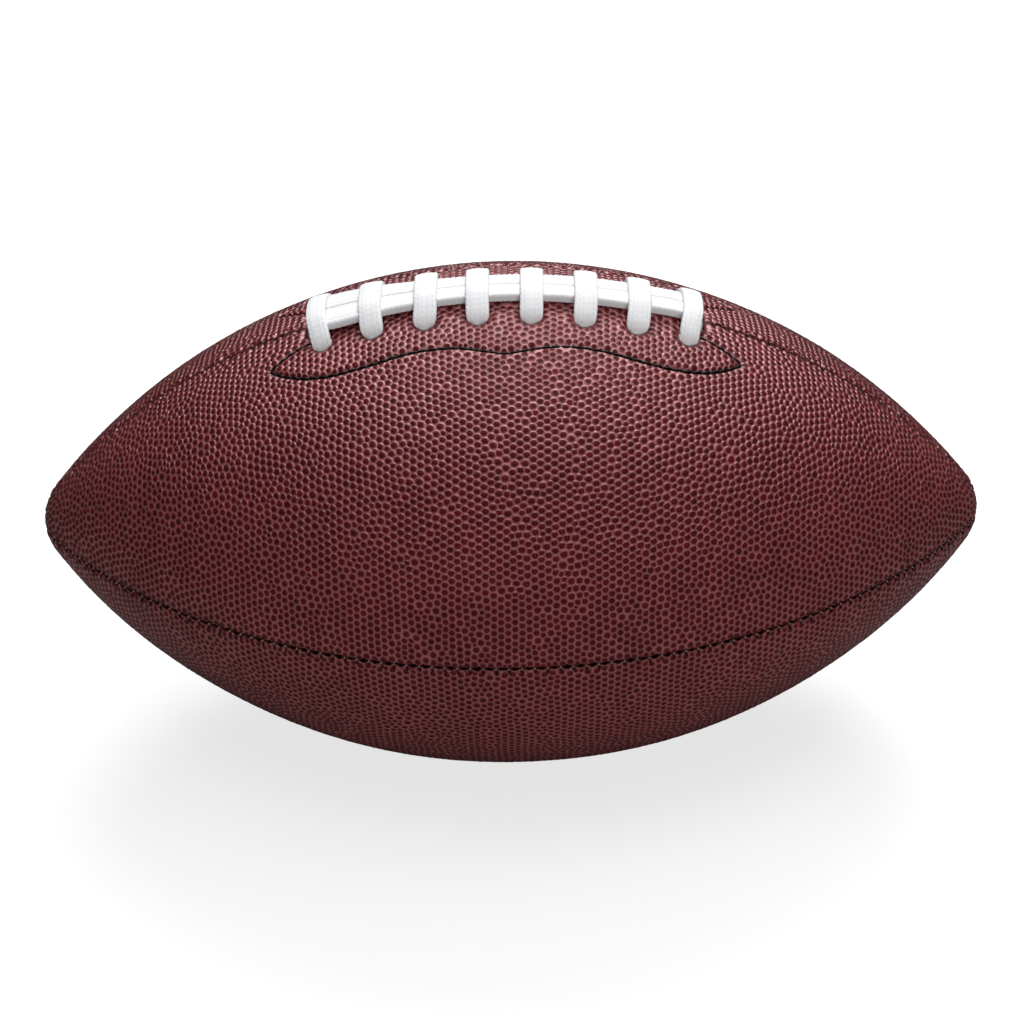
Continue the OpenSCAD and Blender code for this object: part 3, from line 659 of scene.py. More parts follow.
class Panel:
    """A cover panel, laid out in s and the angle t from its first seam to the next, a quarter turn on."""

    def __init__(self, laced=False, valve=False):
        self.laced = laced
        self.holes = []
        if laced:
            places = [i * CROSS_PITCH - LAST_HOLE for i in range(CROSS_COUNT)]
            self.holes = [(s, HOLE_SEEN, MOUTH_R) for s in places]
        elif valve:
            self.holes = [(0.0, BALL_R * QUARTER / 2, VALVE_HOLE_R)]

    def surface(self, s, t):
        """The final angle from the first seam and the height of the leather without its pebbles."""
        wide = out(s, 0.0)
        w_a, w_b = t * wide, (QUARTER - t) * wide
        d_a, down_a = edge_turn(w_a)
        d_b, down_b = edge_turn(w_b)
        uneven = 0.5 + 0.5 * np.sin(1.31 * s + 1.7 * np.sin(0.53 * s + t))
        gap = PART_LEAST + (PART_EVEN + PART_UNEVEN * uneven) * pulled(s) ** 1.4
        gap = gap * mix(PART_AT_TIP, 1, smoothstep(S_CUT - np.abs(s), 0, TIP_REACH))
        sewn = smoothstep(np.abs(s), OPEN_END - 2, OPEN_END + 2) if self.laced else 1.0
        d_a = d_a + fade(w_a + TURN_OVER, PART_REACH) * gap * sewn + EDGE_EASE
        d_b = d_b + fade(w_b + TURN_OVER, PART_REACH) * gap + EDGE_EASE
        from_seam = np.minimum(w_a, w_b)
        v = -((down_a**4 + down_b**4) ** 0.25) + puckers(s, from_seam, uneven) * sewn
        v = v + WAVE * np.sin(s * 0.071 + 1.3) * np.sin(t * 5.0 + 0.4) * smoothstep(from_seam, 2, 12)
        if self.laced:
            v = with_lip(s, d_a, v)
        return t + (d_a - w_a) / wide - (d_b - w_b) / wide, v

    def drawn_in(self, s, u, v):
        """The height with holes, slots and outline pressed in, and how far the pebbles stand there."""
        from_seam = np.minimum(u, QUARTER * out(s, 0.0) - u)
        stand = mix(SEAM_STAND, 1, smoothstep(from_seam, 0.2, 1.7))
        for hole_s, hole_u, radius in self.holes:
            away = np.hypot(s - hole_s, u - hole_u) - radius
            v = v - (HOLE_PULL if self.laced else VALVE_PULL) * fade(away, HOLE_PULL_REACH)
            if self.laced:
                v = v + HOLE_RIM * bell(away - HOLE_RIM_AT, HOLE_RIM_REACH)
            stand = np.minimum(stand, smoothstep(away, 0.0, 1.4))
        if self.laced:
            past_ends = np.maximum(np.abs(np.abs(s) - SLOT_S) - SLOT_HALF, 0)
            from_slot = np.hypot(past_ends, np.maximum(u - SLOT_WIDE, 0))
            v = v - SLOT_PULL * fade(from_slot, SLOT_PULL_REACH)
            stand = np.minimum(stand, smoothstep(from_slot, 0.0, 1.5))
            near = (np.abs(s) < HORN_S + 5) & (u > 3) & (u < FACING_REACH + 5)
            away = np.full(len(s), 9.0)
            away[near] = distance_to_outline(columns(s[near], u[near]))
            v = v - GROOVE * bell(away, GROOVE_REACH)
            v = v + GROOVE_RIM * bell(away - GROOVE_RIM_AT, GROOVE_RIM_REACH)
            stand = np.minimum(stand, smoothstep(away, 0.25, 1.15))
        return v, stand

    def border(self):
        """Outer boundary points, in s and angle, in one direct turn."""
        low = -TURN_OVER
        parts = []
        if self.laced:
            ends = [x + d for x in (-SLOT_S, SLOT_S) for d in (-SLOT_HALF, SLOT_HALF)]
            ends = [-S_CUT, *ends, S_CUT]
            levels = [low, SLOT_WIDE, low, SLOT_WIDE, low]
            for i, level in enumerate(levels):
                if i:
                    parts.append(edge_climb(ends[i], levels[i - 1], level))
                parts.append(edge_run(ends[i], ends[i + 1], level))
        else:
            parts.append(edge_run(-S_CUT, S_CUT, low))
        wide = float(out(S_CUT, 0.0)) * QUARTER + TURN_OVER
        parts.append(edge_climb(S_CUT, low, wide))
        parts.append(edge_run(S_CUT, -S_CUT, TURN_OVER, start=QUARTER))
        parts.append(edge_climb(-S_CUT, wide, low))
        return joined(*parts)

    def outside(self, s, t, margin):
        """Which points lie outside the leather, or nearer than margin to its edges."""
        wide = out(s, 0.0)
        w_a, w_b = t * wide + TURN_OVER, (QUARTER - t) * wide + TURN_OVER
        found = (w_a < margin) | (w_b < margin) | (np.abs(s) > S_CUT - margin)
        for hole_s, hole_u, radius in self.holes:
            found |= np.hypot(s - hole_s, t * wide - hole_u) < radius + margin
        if self.laced:
            found |= (np.abs(np.abs(s) - SLOT_S) < SLOT_HALF + margin) & (t * wide < SLOT_WIDE + margin)
        return found

    def sites(self, seed):
        """Scattered rows of sites, in s and angle, clear of the panel's edges."""
        rng = np.random.default_rng(seed)
        count = int(2 * S_CUT / (PITCH * math.sqrt(0.75)))
        rows = []
        for k in range(count):
            s = -S_CUT + (k + 0.5) * 2 * S_CUT / count
            wide = float(out(s, 0.0))
            across = wide * QUARTER + 2 * TURN_OVER
            n = max(1, round(across / PITCH))
            w = (np.arange(n) + (0.3 if k % 2 else 0.7)) / n * across - TURN_OVER
            rows.append(columns(s, w / wide))
        found = joined(*rows)
        wide = out(found[:, 0], 0.0)
        found = found + rng.normal(0, SCATTER * PITCH, found.shape) / columns(1.0, wide)
        return found[~self.outside(found[:, 0], found[:, 1], SITE_CLEAR * PITCH)]

    def layout(self, seed):
        """Points of the flat map, the sites first, the triangles between them and the number of sites."""
        sites = self.sites(seed)
        loops = [self.border()]
        for hole_s, hole_u, radius in self.holes:
            turn = np.linspace(0, 2 * math.pi, HOLE_POINTS + 1)[:-1]
            s = hole_s + radius * np.cos(turn)
            loops.append(columns(s, (hole_u - radius * np.sin(turn)) / out(s, 0.0)))
        edges = []
        first = len(sites)
        for loop in loops:
            n = len(loop)
            edges += [(first + i, first + (i + 1) % n) for i in range(n)]
            first += n
        points = joined(to_map(*sites.T), to_map(*joined(*loops).T))
        for turn in range(RELAX_TURNS):
            relax(points, self.triangles(points, edges), len(sites))
        return points, self.triangles(points, edges), len(sites)

    def triangles(self, points, edges):
        """Delaunay triangles inside the panel, as numbers of the given points."""
        found = delaunay_2d_cdt([Vector(p) for p in points.tolist()], edges, [], 0, 1e-7, True)
        origin = np.array([o[0] if o else -1 for o in found[3]])
        tris = origin[np.array(found[2])]
        tris = tris[(tris >= 0).all(1)]
        s, t = from_map(points[tris].mean(1))
        return tris[~self.outside(s, t, 0.0)]


def dress(panel, name, base, side, seed, replaced):
    """Makes the panel's piece. Its t counts from the angle base about the axis, back if side is -1."""
    points, tris, site_count = panel.layout(seed)
    count, total = len(tris), len(points)
    owner = tris.reshape(-1)
    quads, tri_faces, (rim_start, rim_end, half) = cell_faces(tris, total, site_count)
    rim_count = len(half)

    # Places of the leather with its pebbles
    half_way = (points[rim_start] + points[rim_end]) / 2
    flat = joined(points, points[tris].mean(1), *cell_rings(points, tris), half_way)
    s, t = from_map(flat)
    angle, v = panel.surface(s, t)
    flat_w = t * out(s, 0.0)
    v, stand = panel.drawn_in(s, flat_w, v)
    # Painted shade: the deeper the leather lies, in the seams' gaps, the puckers at the stitches, the dips
    # round the holes and slots and the outline's groove, the darker it is painted
    depth_shade = smoothstep(-v, 0.16, 0.85)
    rad_of_points = np.where(np.arange(total) < site_count, 0.0, 1.0)
    rings = [np.full(3 * count, RING_OUT), np.full(3 * count, RING_IN)]
    rad = joined(rad_of_points, np.ones(count), *rings, np.ones(rim_count))
    rise = np.interp(rad, [0, RING_IN, RING_OUT, 1], PEBBLE_RISE)
    rng = np.random.default_rng(seed + 100)
    size = rng.normal(1.0, PEBBLE_UNEVEN, total)
    shade = rng.random(total)
    who = joined(np.arange(total), np.full(count, -1), owner, owner, np.full(rim_count, -1))
    tall = np.where(who >= 0, size[who], 1.0)
    tone = np.where(who >= 0, shade[who], 0.5)
    v = v + (NET_V + PEBBLE_H * rise * tall) * stand
    places = spot(s, base + side * angle, v)

    # Walls down through the leather along every border
    wall_at = joined(rim_start, half)
    below = np.full(len(places), -1)
    below[wall_at] = len(places) + np.arange(len(wall_at))
    deep = spot(s[wall_at], base + side * angle[wall_at], np.full(len(wall_at), -WALL_IN))
    walls_a = columns(half, rim_start, below[rim_start], below[half])
    walls_b = columns(rim_end, half, below[half], below[rim_end])[below[rim_end] >= 0]
    quads = joined(quads, walls_a, walls_b)
    places = joined(places, deep)
    # Each value on the leather, with the one on the walls, which are painted wholly in shade
    values = {"rad": (rad, 1), "pebble": (stand, 0), "tone": (tone, 0.5), "depth_shade": (depth_shade, 1)}

    # The faces look outward, and only the points that they use are kept
    if side > 0:
        quads, tri_faces = quads[:, ::-1], tri_faces[:, ::-1]
    corners = joined(quads.reshape(-1), tri_faces.reshape(-1))
    used, packed = np.unique(corners, return_inverse=True)
    faces = [packed[: quads.size].reshape(-1, 4), packed[quads.size :].reshape(-1, 3)]
    flat_s = np.append(s, s[wall_at])[used]
    flat_w = np.append(flat_w, flat_w[wall_at])[used]

    def bake_layout(corners, counts):
        """The panel cut in two across its middle, with the halves one above the other."""
        face = np.repeat(np.arange(len(counts)), counts)
        middle_s = np.bincount(face, weights=flat_s[corners]) / counts
        right = (middle_s > 0)[face]
        outward = np.where(right, flat_s[corners], -flat_s[corners])
        x = (outward + BAKE_MARGIN_S) / (S_CUT + 2 * BAKE_MARGIN_S)
        y = (flat_w[corners] + BAKE_MARGIN_W) / BAKE_WIDE / 2
        return columns(x, y + np.where(right, 0.5, 0.0))

    for key, (top, wall) in values.items():
        values[key] = np.append(top, np.full(len(deep), wall))[used]
    mesh_piece(name, places[used], faces, LEATHER, values, replaced, bake_layout)


dress(Panel(laced=True), "cover_front_upper", 0.0, 1, 11, ["panel_front_upper"])
dress(Panel(laced=True), "cover_back_upper", 0.0, -1, 23, ["panel_back_upper"])
dress(Panel(), "cover_front_lower", math.pi, -1, 37, ["panel_front_lower"])
dress(Panel(valve=True), "cover_back_lower", math.pi, 1, 53, ["panel_back_lower"])


# Tubes. A station is s, u, v, half width, half thickness, and the direction of the width as its shares along
# s and u. Where both shares are 0, the width lies level with the leather.
LEVEL = [0, 0]
WIDE_S = [1, 0]
WIDE_U = [0, 1]
BETWEEN = [1, 1]


def unit_rows(p):
    return p / np.linalg.norm(p, axis=1)[:, None]


def tube_frames(q):
    """The points of the middle line, and the directions of the width and the thickness."""
    s, u, v = q[:, :3].T
    at = spot_u(s, u, v)
    run = unit_rows(np.gradient(at, axis=0))
    up = unit_rows(spot_u(s, u, v + 1) - at)
    ahead = unit_rows(spot_u(s + 1, u, v) - spot_u(s - 1, u, v))
    across = np.cross(ahead, up)
    level = (np.abs(q[:, 5]) + np.abs(q[:, 6]) < 1e-9)[:, None]
    hint = np.where(level, np.cross(up, run), q[:, 5:6] * ahead + q[:, 6:7] * across)
    side = unit_rows(hint - (hint * run).sum(1)[:, None] * run)
    return at, side, np.cross(run, side)


def tube_points(frames, wide, thick):
    at, side, up = frames
    return at[:, None] + side[:, None] * wide[..., None] + up[:, None] * thick[..., None]


def tube_faces(rings, sides):
    """The quads of the wall and a face over each end."""
    i = np.arange(rings - 1)[:, None] * sides
    k = np.arange(sides)[None, :]
    a, b = i + k, i + (k + 1) % sides
    quads = columns(a, a + sides, b + sides, b).reshape(-1, 4)[:, ::-1]
    end = np.arange(sides).reshape(1, -1)
    return [quads, end[:, ::-1], (rings - 1) * sides + end]


# The lace's bends. A row is a place on the way, a height or depth, and how flat the lace is, all as shares.
# The way goes out from a hole, a slot or the seam, and the lace is a round neck at 0 and flat at 1.
CROSS_WAY = [
    (1.0, 0.12, 0.95),
    (0.93, 0.34, 1),
    (0.78, 0.60, 1),
    (0.62, 0.82, 1),
    (0.45, 0.97, 1),
    (0.21, 1, 1),
]
BEND_WAY = [(0.26, 0.53, 0.4), (1.0, 0.93, 0.8), (2.1, 1, 1)]
TURN_WAY = [(-0.8, 0.6, 0.4), (0, 1, 1), (0.8, 0.6, 0.4)]
FIRST_WAY = [(0.12, 0.8, 0.3), (0.45, 1, 1)]
TAIL_WAY = [(1, 1, 1), (0.5, 1, 1), (0.17, 0.93, 0.8), (0.04, 0.6, 0.4)]

# Where a strand dips into its slot: the way before it, the height, and how much of its shift and added width
# it still has
DIP_WAY = [(1.0, 1.0, 1.0), (0.61, 0.96, 0.6), (0.28, 0.66, 0.0), (0.06, 0.10, 0.0)]
SLOT_DEPTH = 0.42
HOLE_DEPTH = 0.88

# In a hole's mouth: height, half width and half thickness
MOUTH = [(-0.3, 3.0, 1.35), (-1.1, 2.5, 1.6)]

# The lace as it was pulled: the shift of each cross lace along the seam, the narrower first and last one, and
# at places along the seam the two strands' shift to the front and their added width
CROSS_OFF = [0.5, 0, 0.7, 0, 0, 0, 0, -0.8]
END_CROSS_SHARE = 0.88
STRAND_S = [-47, -37, -22, -7, 7, 37, 47]
STRAND_SHIFT = [0.3, 0.4, 0.8, 0.5, 0.2, 0.0, -0.6]
STRAND_WIDER = [2.4, 1.6, 0.3, 0.0, 0.0, 0.0, 0.0]

# The braid: the section's sides, ribs to each side of the middle, the stitches' length and lean, and the
# relief. The steps along the lace are finer where it is seen, which is above the height SEEN_ABOVE.
LACE_SIDES = 48
RIB_NUMBER = 2.5
BRAID_STITCH = 1.45
BRAID_LEAN = 1.1
BRAID_H = 0.20
SEEN_STEP = 0.30
HIDDEN_STEP = 0.9
SEEN_ABOVE = -1.5


def unit(x, y):
    return [x / math.hypot(x, y), y / math.hypot(x, y)]


HOLE_WAY = unit(CROSS_PITCH, 2 * HOLE_OFF)
SLOT_WAY = unit(LAST_HOLE - SLOT_S, STRAND_U - HOLE_OFF)
LAST_WAY = unit(0.95, 0.32)


def half_sizes(flatness, wide, thick):
    return [mix(NECK_R, wide / 2, flatness), mix(NECK_R, thick / 2, flatness)]


def inner_size(flatness):
    return half_sizes(flatness, INNER_W, INNER_T)


def strand_size(flatness):
    return half_sizes(flatness, STRAND_W + 1.8 * LACE_GAP, STRAND_T + 0.4)


def depth(share):
    return mix(-SKIN, INNER_V, share)


def leg(s, u, towards):
    """Down through the hole at s, u, and away below the leather in the direction towards."""
    width = [towards[1], -towards[0]] if towards[1] > 0 else [-towards[1], towards[0]]
    turned = [mix(1, width[0], HOLE_DEPTH), mix(0, width[1], HOLE_DEPTH)]
    found = [[s, HOLE_SEEN * u / HOLE_OFF, v, wide, thick, *WIDE_S] for v, wide, thick in MOUTH]
    found.append([s, u, -SKIN * HOLE_DEPTH, *inner_size(0), *turned])
    for way, low, flatness in BEND_WAY:
        far = LACE_TURN * way
        found.append([s + towards[0] * far, u + towards[1] * far, depth(low), *inner_size(flatness), *width])
    return found


def strand_at(s, u, v, share=1.0):
    shift = share * float(np.interp(s, STRAND_S, STRAND_SHIFT))
    wider = share * float(np.interp(s, STRAND_S, STRAND_WIDER))
    wide, thick = strand_size(1)
    return [s, u + shift + math.copysign(wider / 2, u), v, wide + wider / 2, thick, *WIDE_U]


def dip(end, u):
    """Down into the slot at the end -1 or 1."""
    run = []
    for way, high, share in DIP_WAY:
        run.append(strand_at(end * (SLOT_S - DIP_RUN * way), u, high * STRAND_V, share))
    return run + [[end * SLOT_S, u, -SKIN * SLOT_DEPTH, *strand_size(1), *WIDE_U]]


def strand(u):
    places = [i * CROSS_PITCH - LAST_HOLE for i in range(CROSS_COUNT)]
    return [strand_at(s, u, STRAND_V) for s in places if abs(s) < SLOT_S - DIP_RUN]


def in_slot(end, u, width):
    return [end * SLOT_S, u, -SKIN * HOLE_DEPTH, *strand_size(0), *width]


def strands():
    """The tail, the back strand, the turn below the far slot, the front strand and on to the first hole."""
    back, front = -STRAND_U, STRAND_U
    found = [[-SLOT_S - a * TAIL_LEN, back, depth(b), *inner_size(c), *WIDE_U] for a, b, c in TAIL_WAY]
    found.append(in_slot(-1, back, WIDE_U))
    found += dip(-1, back)[::-1] + strand(back) + dip(1, back)
    found.append(in_slot(1, back, BETWEEN))
    found += [[SLOT_S, front * a, depth(b), *inner_size(c), *WIDE_S] for a, b, c in TURN_WAY]
    found.append(in_slot(1, front, BETWEEN))
    found += dip(1, front)[::-1] + strand(front)[::-1] + dip(-1, front)
    found.append(in_slot(-1, front, BETWEEN))
    for a, b, c in FIRST_WAY:
        place = [mix(-SLOT_S, -LAST_HOLE, a), mix(front, HOLE_OFF, a), depth(b)]
        found.append([*place, *inner_size(c), *WIDE_S])
    return found


def cross_lace(i):
    """Up through a hole, over the strands, down through the hole across and on below the leather."""
    s = i * CROSS_PITCH - LAST_HOLE
    first, last = i == 0, i == CROSS_COUNT - 1
    bow = -CROSS_BOW if first else CROSS_BOW if last else 0
    off = CROSS_OFF[i]
    size = CROSS_W * (END_CROSS_SHARE if first or last else 1.0)
    up = leg(s, HOLE_OFF, SLOT_WAY)[:-1] if first else leg(s, HOLE_OFF, [-HOLE_WAY[0], -HOLE_WAY[1]])
    front = []
    for a, b, c in CROSS_WAY:
        aside = s + bow * (1 - a * a) + off * (1 - a**6)
        front.append([aside, a * HOLE_SEEN, b * CROSS_SEEN, *half_sizes(c, size, CROSS_T), *WIDE_S])
    middle = [[s + bow + off, 0, CROSS_SEEN, *half_sizes(1, size, CROSS_T), *WIDE_S]]
    back = [[q[0], -q[1], *q[2:]] for q in front[::-1]]
    found = up[::-1] + front + middle + back + leg(s, -HOLE_OFF, LAST_WAY if last else HOLE_WAY)
    if last:
        end = [s + LAST_WAY[0] * TAIL_LEN, -HOLE_OFF + LAST_WAY[1] * TAIL_LEN]
        return found + [[*end, INNER_V, *inner_size(1), LAST_WAY[1], -LAST_WAY[0]]]
    return found + [[s + CROSS_PITCH / 2, 0, INNER_V, *inner_size(1), HOLE_WAY[1], -HOLE_WAY[0]]]


def lace_stations():
    found = strands()
    for i in range(CROSS_COUNT):
        found += cross_lace(i)
    return np.array(found, float)


def braided_lace():
    """The lace in ribs, each a chain of slanted stitches that lean the other way in the next rib."""
    stations = lace_stations()
    spans = np.diff(run_length(spot_u(*stations[:, :3].T)))
    seen = np.maximum(stations[1:, 2], stations[:-1, 2]) > SEEN_ABOVE
    counts = [max(2, math.ceil(x / (SEEN_STEP if y else HIDDEN_STEP))) for x, y in zip(spans, seen)]
    q = smooth_run(stations, counts)
    frames = tube_frames(q)
    length = run_length(frames[0])
    # The section is squarer where the lace is flat, and more so along the two strands
    turn = 2 * math.pi * np.arange(LACE_SIDES) / LACE_SIDES
    slim = np.clip(1 - q[:, 4] / q[:, 3], 0, 1)
    square = 1.5 * slim + 0.8 * smoothstep(q[:, 4], INNER_T / 2, STRAND_T / 2)
    power = 2 / (2 + square)[:, None]
    x = np.sign(np.cos(turn)) * np.abs(np.cos(turn)) ** power
    y = np.sign(np.sin(turn)) * np.abs(np.sin(turn)) ** power
    rib = np.round(x * RIB_NUMBER)
    local = x * RIB_NUMBER - rib
    ridge = np.cos(math.pi * local) ** 0.8
    lean = np.where(rib % 2 == 0, BRAID_LEAN, -BRAID_LEAN)
    stitch = 0.5 + 0.5 * np.sin(2 * math.pi * (length[:, None] / BRAID_STITCH + lean * local))
    height = ridge * (0.45 + 0.55 * stitch)
    thick = BRAID_H * (height - 0.6)
    points = tube_points(frames, (q[:, 3:4] + thick) * x, (q[:, 4:5] + thick) * y)
    # The relief's height, which the lace's colour reads to paint shade in its hollows
    values = {"rib": np.clip(height, 0, 1).reshape(-1)}
    faces = tube_faces(len(q), LACE_SIDES)
    mesh_piece("braided_lace", points.reshape(-1, 3), faces, BRAID, values, ["lace"])


braided_lace()


# Threads. An outline's stitches rise from its groove between the holes they dive into. A seam has a rung over
# it at each stitch, and the thread between the rungs runs below them. It ends at THREAD_END_R from the axis.
OUTLINE_STITCH = 2.9
OUTLINE_STEP = 0.3
OUTLINE_TWIST = 1.1
OUTLINE_LOW = -0.85
OUTLINE_RISE = 0.55
SEAM_TWIST = 0.9
PLY_RELIEF = 0.14
RUNG_FROM = -1.1
RUNG_TO = 2.1
RUNG_POINTS = 22
RUNG_R = 0.22
RUNG_SLANT = 0.15
RUNG_V = -0.30
RUNG_DIVE = 0.9
RUNG_LIFT = 0.24
RUNG_TIP = 0.7
GLINT_REACH = 0.45
BELOW_R = 0.3
BELOW_V = -1.45
BELOW_SWING = 0.12
BELOW_STEP = 0.5
THREAD_SIDES = 10
BELOW_SIDES = 8
THREAD_END_R = 1.8


def twisted(stations, sides, twist):
    """Points, faces and ply values of a thread of two plies."""
    frames = tube_frames(stations)
    length = run_length(frames[0])
    turn = 2 * math.pi * np.arange(sides) / sides
    ply = 0.5 + 0.5 * np.cos(2 * (turn[None, :] - math.pi * length[:, None] / twist))
    round_ply = mix(1 - PLY_RELIEF, 1, ply)
    wide, thick = stations[:, 3:4] * round_ply, stations[:, 4:5] * round_ply
    points = tube_points(frames, wide * np.cos(turn), thick * np.sin(turn))
    return points.reshape(-1, 3), tube_faces(len(stations), sides), ply.reshape(-1)


def merged(tubes):
    """Points, faces and ply values of several threads as one."""
    points, faces, ply = zip(*tubes)
    first = np.cumsum([0, *map(len, points)])
    quads = joined(*(f[0] + at for f, at in zip(faces, first)))
    caps = [cap + at for f, at in zip(faces, first) for cap in f[1:]]
    return joined(*points), [quads, *caps], joined(*ply)


def outline_stitches(end, mirror):
    """The stitches of one outline, which mirror turns to the back where it is -1."""
    s, u = smooth_run(outline_run(), [14] * OUTLINE_SPANS).T
    length = run_length(spot_u(s, u, 0.0))
    whole = length[-1]
    even = np.linspace(0, whole, int(whole / OUTLINE_STEP))
    s, u = np.interp(even, length, s), np.interp(even, length, u)
    part = even / (whole / round(whole / OUTLINE_STITCH)) % 1
    rise = np.sin(math.pi * part) ** 0.45
    q = columns(s, u, OUTLINE_LOW + OUTLINE_RISE * rise, 0.36 + 0.06 * rise, 0.30 + 0.05 * rise, *LEVEL)
    points, faces, ply = twisted(q, THREAD_SIDES, OUTLINE_TWIST)
    points = points * np.array([1, mirror, 1])
    faces = [f[:, ::mirror] for f in faces]
    name, cad = f"outline_stitches_{end}", f"facing_stitch_{end}"
    mesh_piece(name, points, faces, THREAD, {"ply": ply / 2}, [cad])


outline_stitches("front", 1)
outline_stitches("back", -1)


def rung(s, glint):
    """One stitch over the seam, with its far end on the leather. It has a painted glint only over the gap."""
    u = np.linspace(RUNG_FROM, RUNG_TO, RUNG_POINTS)
    v = RUNG_V - RUNG_DIVE * np.maximum(u / RUNG_FROM, 0) ** 2
    v = v + RUNG_LIFT * smoothstep(u, 0, 0.7) - RUNG_TIP * smoothstep(u, 1.5, RUNG_TO)
    stations = columns(s + RUNG_SLANT * u, u, v, RUNG_R, RUNG_R, *WIDE_S)
    points, faces, ply = twisted(stations, THREAD_SIDES, SEAM_TWIST)
    # The painted glint lies over the gap, and is brightest on the plies' crowns
    over_gap = np.repeat(np.exp(-((u / GLINT_REACH) ** 4)), THREAD_SIDES)
    return points, faces, glint * over_gap * (0.6 + 0.4 * ply)


def below_rungs(low, high):
    s = np.arange(low, high, BELOW_STEP)
    u = BELOW_SWING * np.sin(2 * math.pi * s / STITCH_PITCH)
    stations = columns(s, u, BELOW_V, BELOW_R, BELOW_R, *WIDE_U)
    points, faces, ply = twisted(stations, BELOW_SIDES, SEAM_TWIST)
    return points, faces, ply / 2


def seam_stitches(name, turn, ranges, cad, glint=1.0):
    """The stitches of the seam at an angle turn about the axis. Glint is how bright the rungs' painted glint
    is.
    """
    tubes = []
    for low, high in ranges:
        for k in range(math.ceil(low / STITCH_PITCH), math.floor(high / STITCH_PITCH) + 1):
            tubes.append(rung(k * STITCH_PITCH, glint))
        tubes.append(below_rungs(low, high))
    points, faces, ply = merged(tubes)
    axis = np.array([0, 0, BALL_R])
    c, s = math.cos(turn), math.sin(turn)
    points = (points - axis) @ np.array([[1, 0, 0], [0, c, s], [0, -s, c]]) + axis
    mesh_piece(name, points, faces, THREAD, {"ply": ply}, [cad])


THREAD_END = JOIN_S + TIP_R * (math.acos(THREAD_END_R / TIP_R) - JOIN_ANGLE)
WHOLE = [(-THREAD_END, THREAD_END)]
BOTH_ENDS = [(-THREAD_END, -OPEN_END), (OPEN_END, THREAD_END)]
seam_stitches("seam_stitches_front", QUARTER, WHOLE, "seam_thread_front")
seam_stitches("seam_stitches_back", -QUARTER, WHOLE, "seam_thread_back")
seam_stitches("seam_stitches_bottom", math.pi, WHOLE, "seam_thread_bottom")
# The top seam's rungs get a fainter painted glint
seam_stitches("seam_stitches_top", 0.0, BOTH_ENDS, "seam_thread_top", 0.4)

# The hidden pieces keep their CAD solids
CLOTH = woven("lining_cloth", (0.42, 0.34, 0.23), (0.74, 0.65, 0.50), 260.0, 0.85)
CANVAS = woven("facing_canvas", (0.07, 0.045, 0.032), (0.20, 0.14, 0.10), 200.0, 0.8)
BLADDER = rubber("bladder_rubber", (0.018, 0.018, 0.019), (0.035, 0.035, 0.036), 0.42)
VALVE = rubber("valve_rubber", (0.030, 0.030, 0.033), (0.055, 0.055, 0.058), 0.55)
HIDDEN = [
    (CLOTH, ["lining_front_upper", "lining_front_lower", "lining_back_upper", "lining_back_lower"]),
    (CANVAS, ["facing_front", "facing_back", "bladder_guard"]),
    (BLADDER, ["bladder", "valve_core"]),
    (VALVE, ["valve_housing"]),
]
for material, names in HIDDEN:
    for name in names:
        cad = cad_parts[name]
        if not cad.material_slots:
            cad.data.materials.append(material)
        for place in cad.material_slots:
            place.material = material


def camera_look(tree, usual, for_camera, output):
    """Shows the camera one shader and everything else the usual one."""
    path = tree.nodes.new("ShaderNodeLightPath")
    chosen = tree.nodes.new("ShaderNodeMixShader")
    link(path.outputs["Is Camera Ray"], chosen.inputs["Fac"])
    link(usual.outputs[0], chosen.inputs[1])
    link(for_camera.outputs[0], chosen.inputs[2])
    link(chosen.outputs[0], tree.nodes[output].inputs["Surface"])


def floor_paper():
    """Paper that the camera sees near white, whiter away from the ball, with the ball's shadow on it."""
    m, tree, shader = new_material("floor_paper")
    put(shader, Base_Color=(0.30, 0.30, 0.30, 1), Roughness=0.9, Specular_IOR_Level=0.1)
    shaded = node(tree, "ShaderNodeBsdfDiffuse", Color=(0.42, 0.42, 0.42, 1))
    glow = node(tree, "ShaderNodeEmission", Color=(1, 1, 1, 1))
    coordinates = tree.nodes.new("ShaderNodeTexCoord")
    away = tree.nodes.new("ShaderNodeVectorMath")
    away.operation = "LENGTH"
    link(coordinates.outputs["Object"], away.inputs[0])
    strength = mapped(tree, away.outputs["Value"], 0.25, 0.8, 0.72, 1.0)
    link(strength, glow.inputs["Strength"])
    pale = tree.nodes.new("ShaderNodeAddShader")
    link(shaded.outputs[0], pale.inputs[0])
    link(glow.outputs[0], pale.inputs[1])
    camera_look(tree, shader, pale, "Material Output")
    return m


def studio_world():
    """White towards the camera, and a soft weak light for the rest."""
    world = bpy.data.worlds.new("studio")
    world.use_nodes = True
    tree = world.node_tree
    background = tree.nodes["Background"]
    put(background, Color=(1, 1, 1, 1), Strength=0.04)
    white = node(tree, "ShaderNodeBackground", Color=(1, 1, 1, 1), Strength=1.0)
    camera_look(tree, background, white, "World Output")
    return world


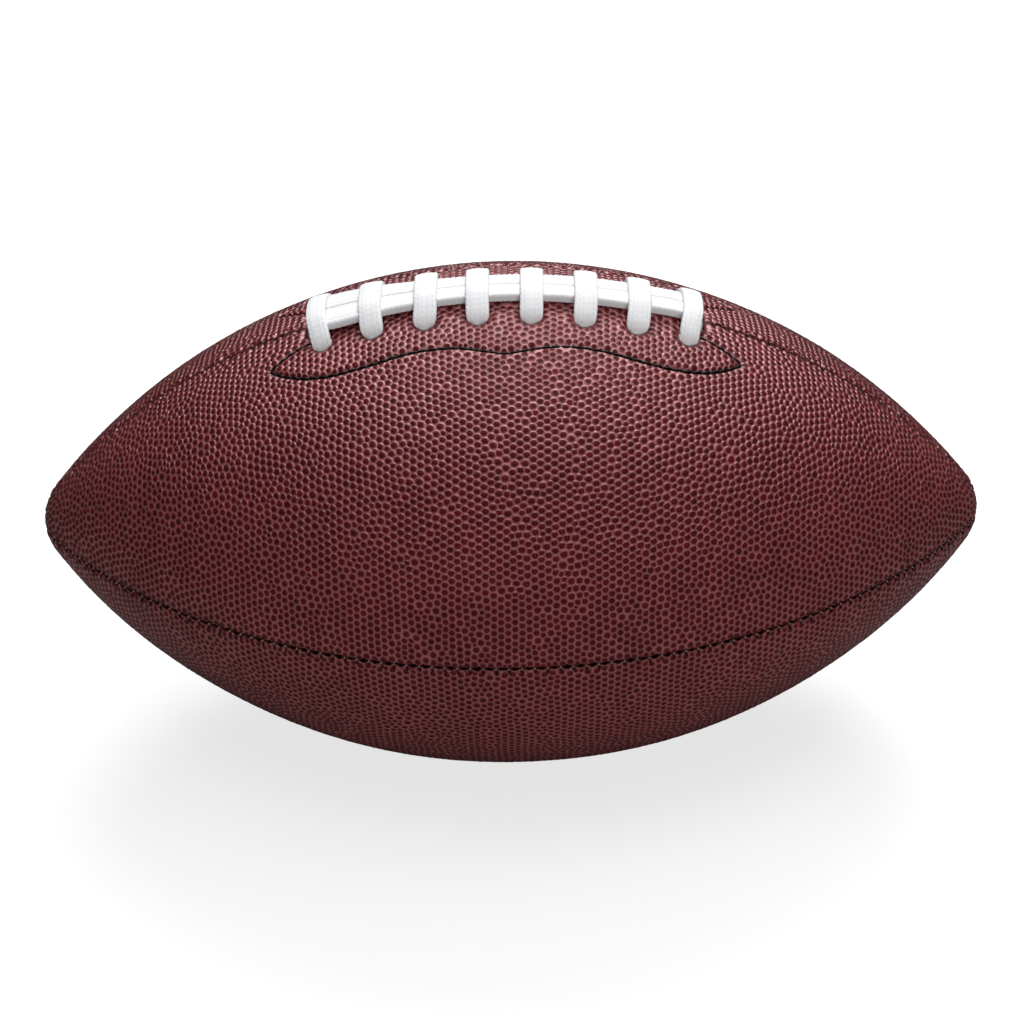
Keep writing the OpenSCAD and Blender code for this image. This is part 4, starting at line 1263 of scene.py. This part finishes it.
LAMPS_LOOK_AT = Vector((0, 0, 0.07))


def lamp(name, at, size, watts, shines=True):
    """A lamp, with its sizes in metres. One that doesn't shine makes no highlights."""
    data = bpy.data.lights.new(name, "AREA")
    data.shape = "RECTANGLE"
    data.size, data.size_y = size
    data.energy = watts
    lit = new_object(name, data)
    lit.location = at
    lit.visible_glossy = shines
    lit.rotation_euler = (LAMPS_LOOK_AT - Vector(at)).to_track_quat("-Z", "Y").to_euler()


bpy.ops.mesh.primitive_plane_add(size=6, location=(0, 0, -0.0006))
floor = bpy.context.object
floor.name = "floor"
floor.data.materials.append(floor_paper())
bpy.context.scene.world = studio_world()
lamp("top", (0.12, -0.10, 1.15), (1.2, 0.8), 6.9)
lamp("back", (0.05, 0.68, 1.00), (0.9, 0.5), 12.4)
lamp("front", (0.22, -1.25, 0.36), (0.7, 0.9), 7.6, shines=False)

# Camera at the photograph's view, in metres, fitted to the ball's outline, seams and lacing
DISTANCE = 0.66224
ELEVATION = math.radians(35.358)
AZIMUTH = math.radians(0.873)
ROLL = math.radians(-1.317)
MOVED_RIGHT = 0.000652
MOVED_DOWN = 0.000114
SENSOR = 36.0
LENS = 77.137


def photo_camera():
    level = math.cos(ELEVATION)
    towards = Vector((math.sin(AZIMUTH) * level, -math.cos(AZIMUTH) * level, math.sin(ELEVATION)))
    flat_right = (-towards).cross(Vector((0, 0, 1))).normalized()
    flat_up = flat_right.cross(-towards)
    right = math.cos(ROLL) * flat_right + math.sin(ROLL) * flat_up
    up = -math.sin(ROLL) * flat_right + math.cos(ROLL) * flat_up
    camera = new_object("camera", bpy.data.cameras.new("camera"))
    camera.data.sensor_width = SENSOR
    camera.data.lens = LENS
    camera.data.clip_start = 0.05
    place = Vector((0, 0, BALL_R * MM)) + towards * DISTANCE + right * MOVED_RIGHT - up * MOVED_DOWN
    camera.matrix_world = Matrix.Translation(place) @ Matrix((right, up, towards)).transposed().to_4x4()
    return camera


bpy.context.scene.camera = photo_camera()
bpy.context.scene.view_settings.view_transform = "Standard"
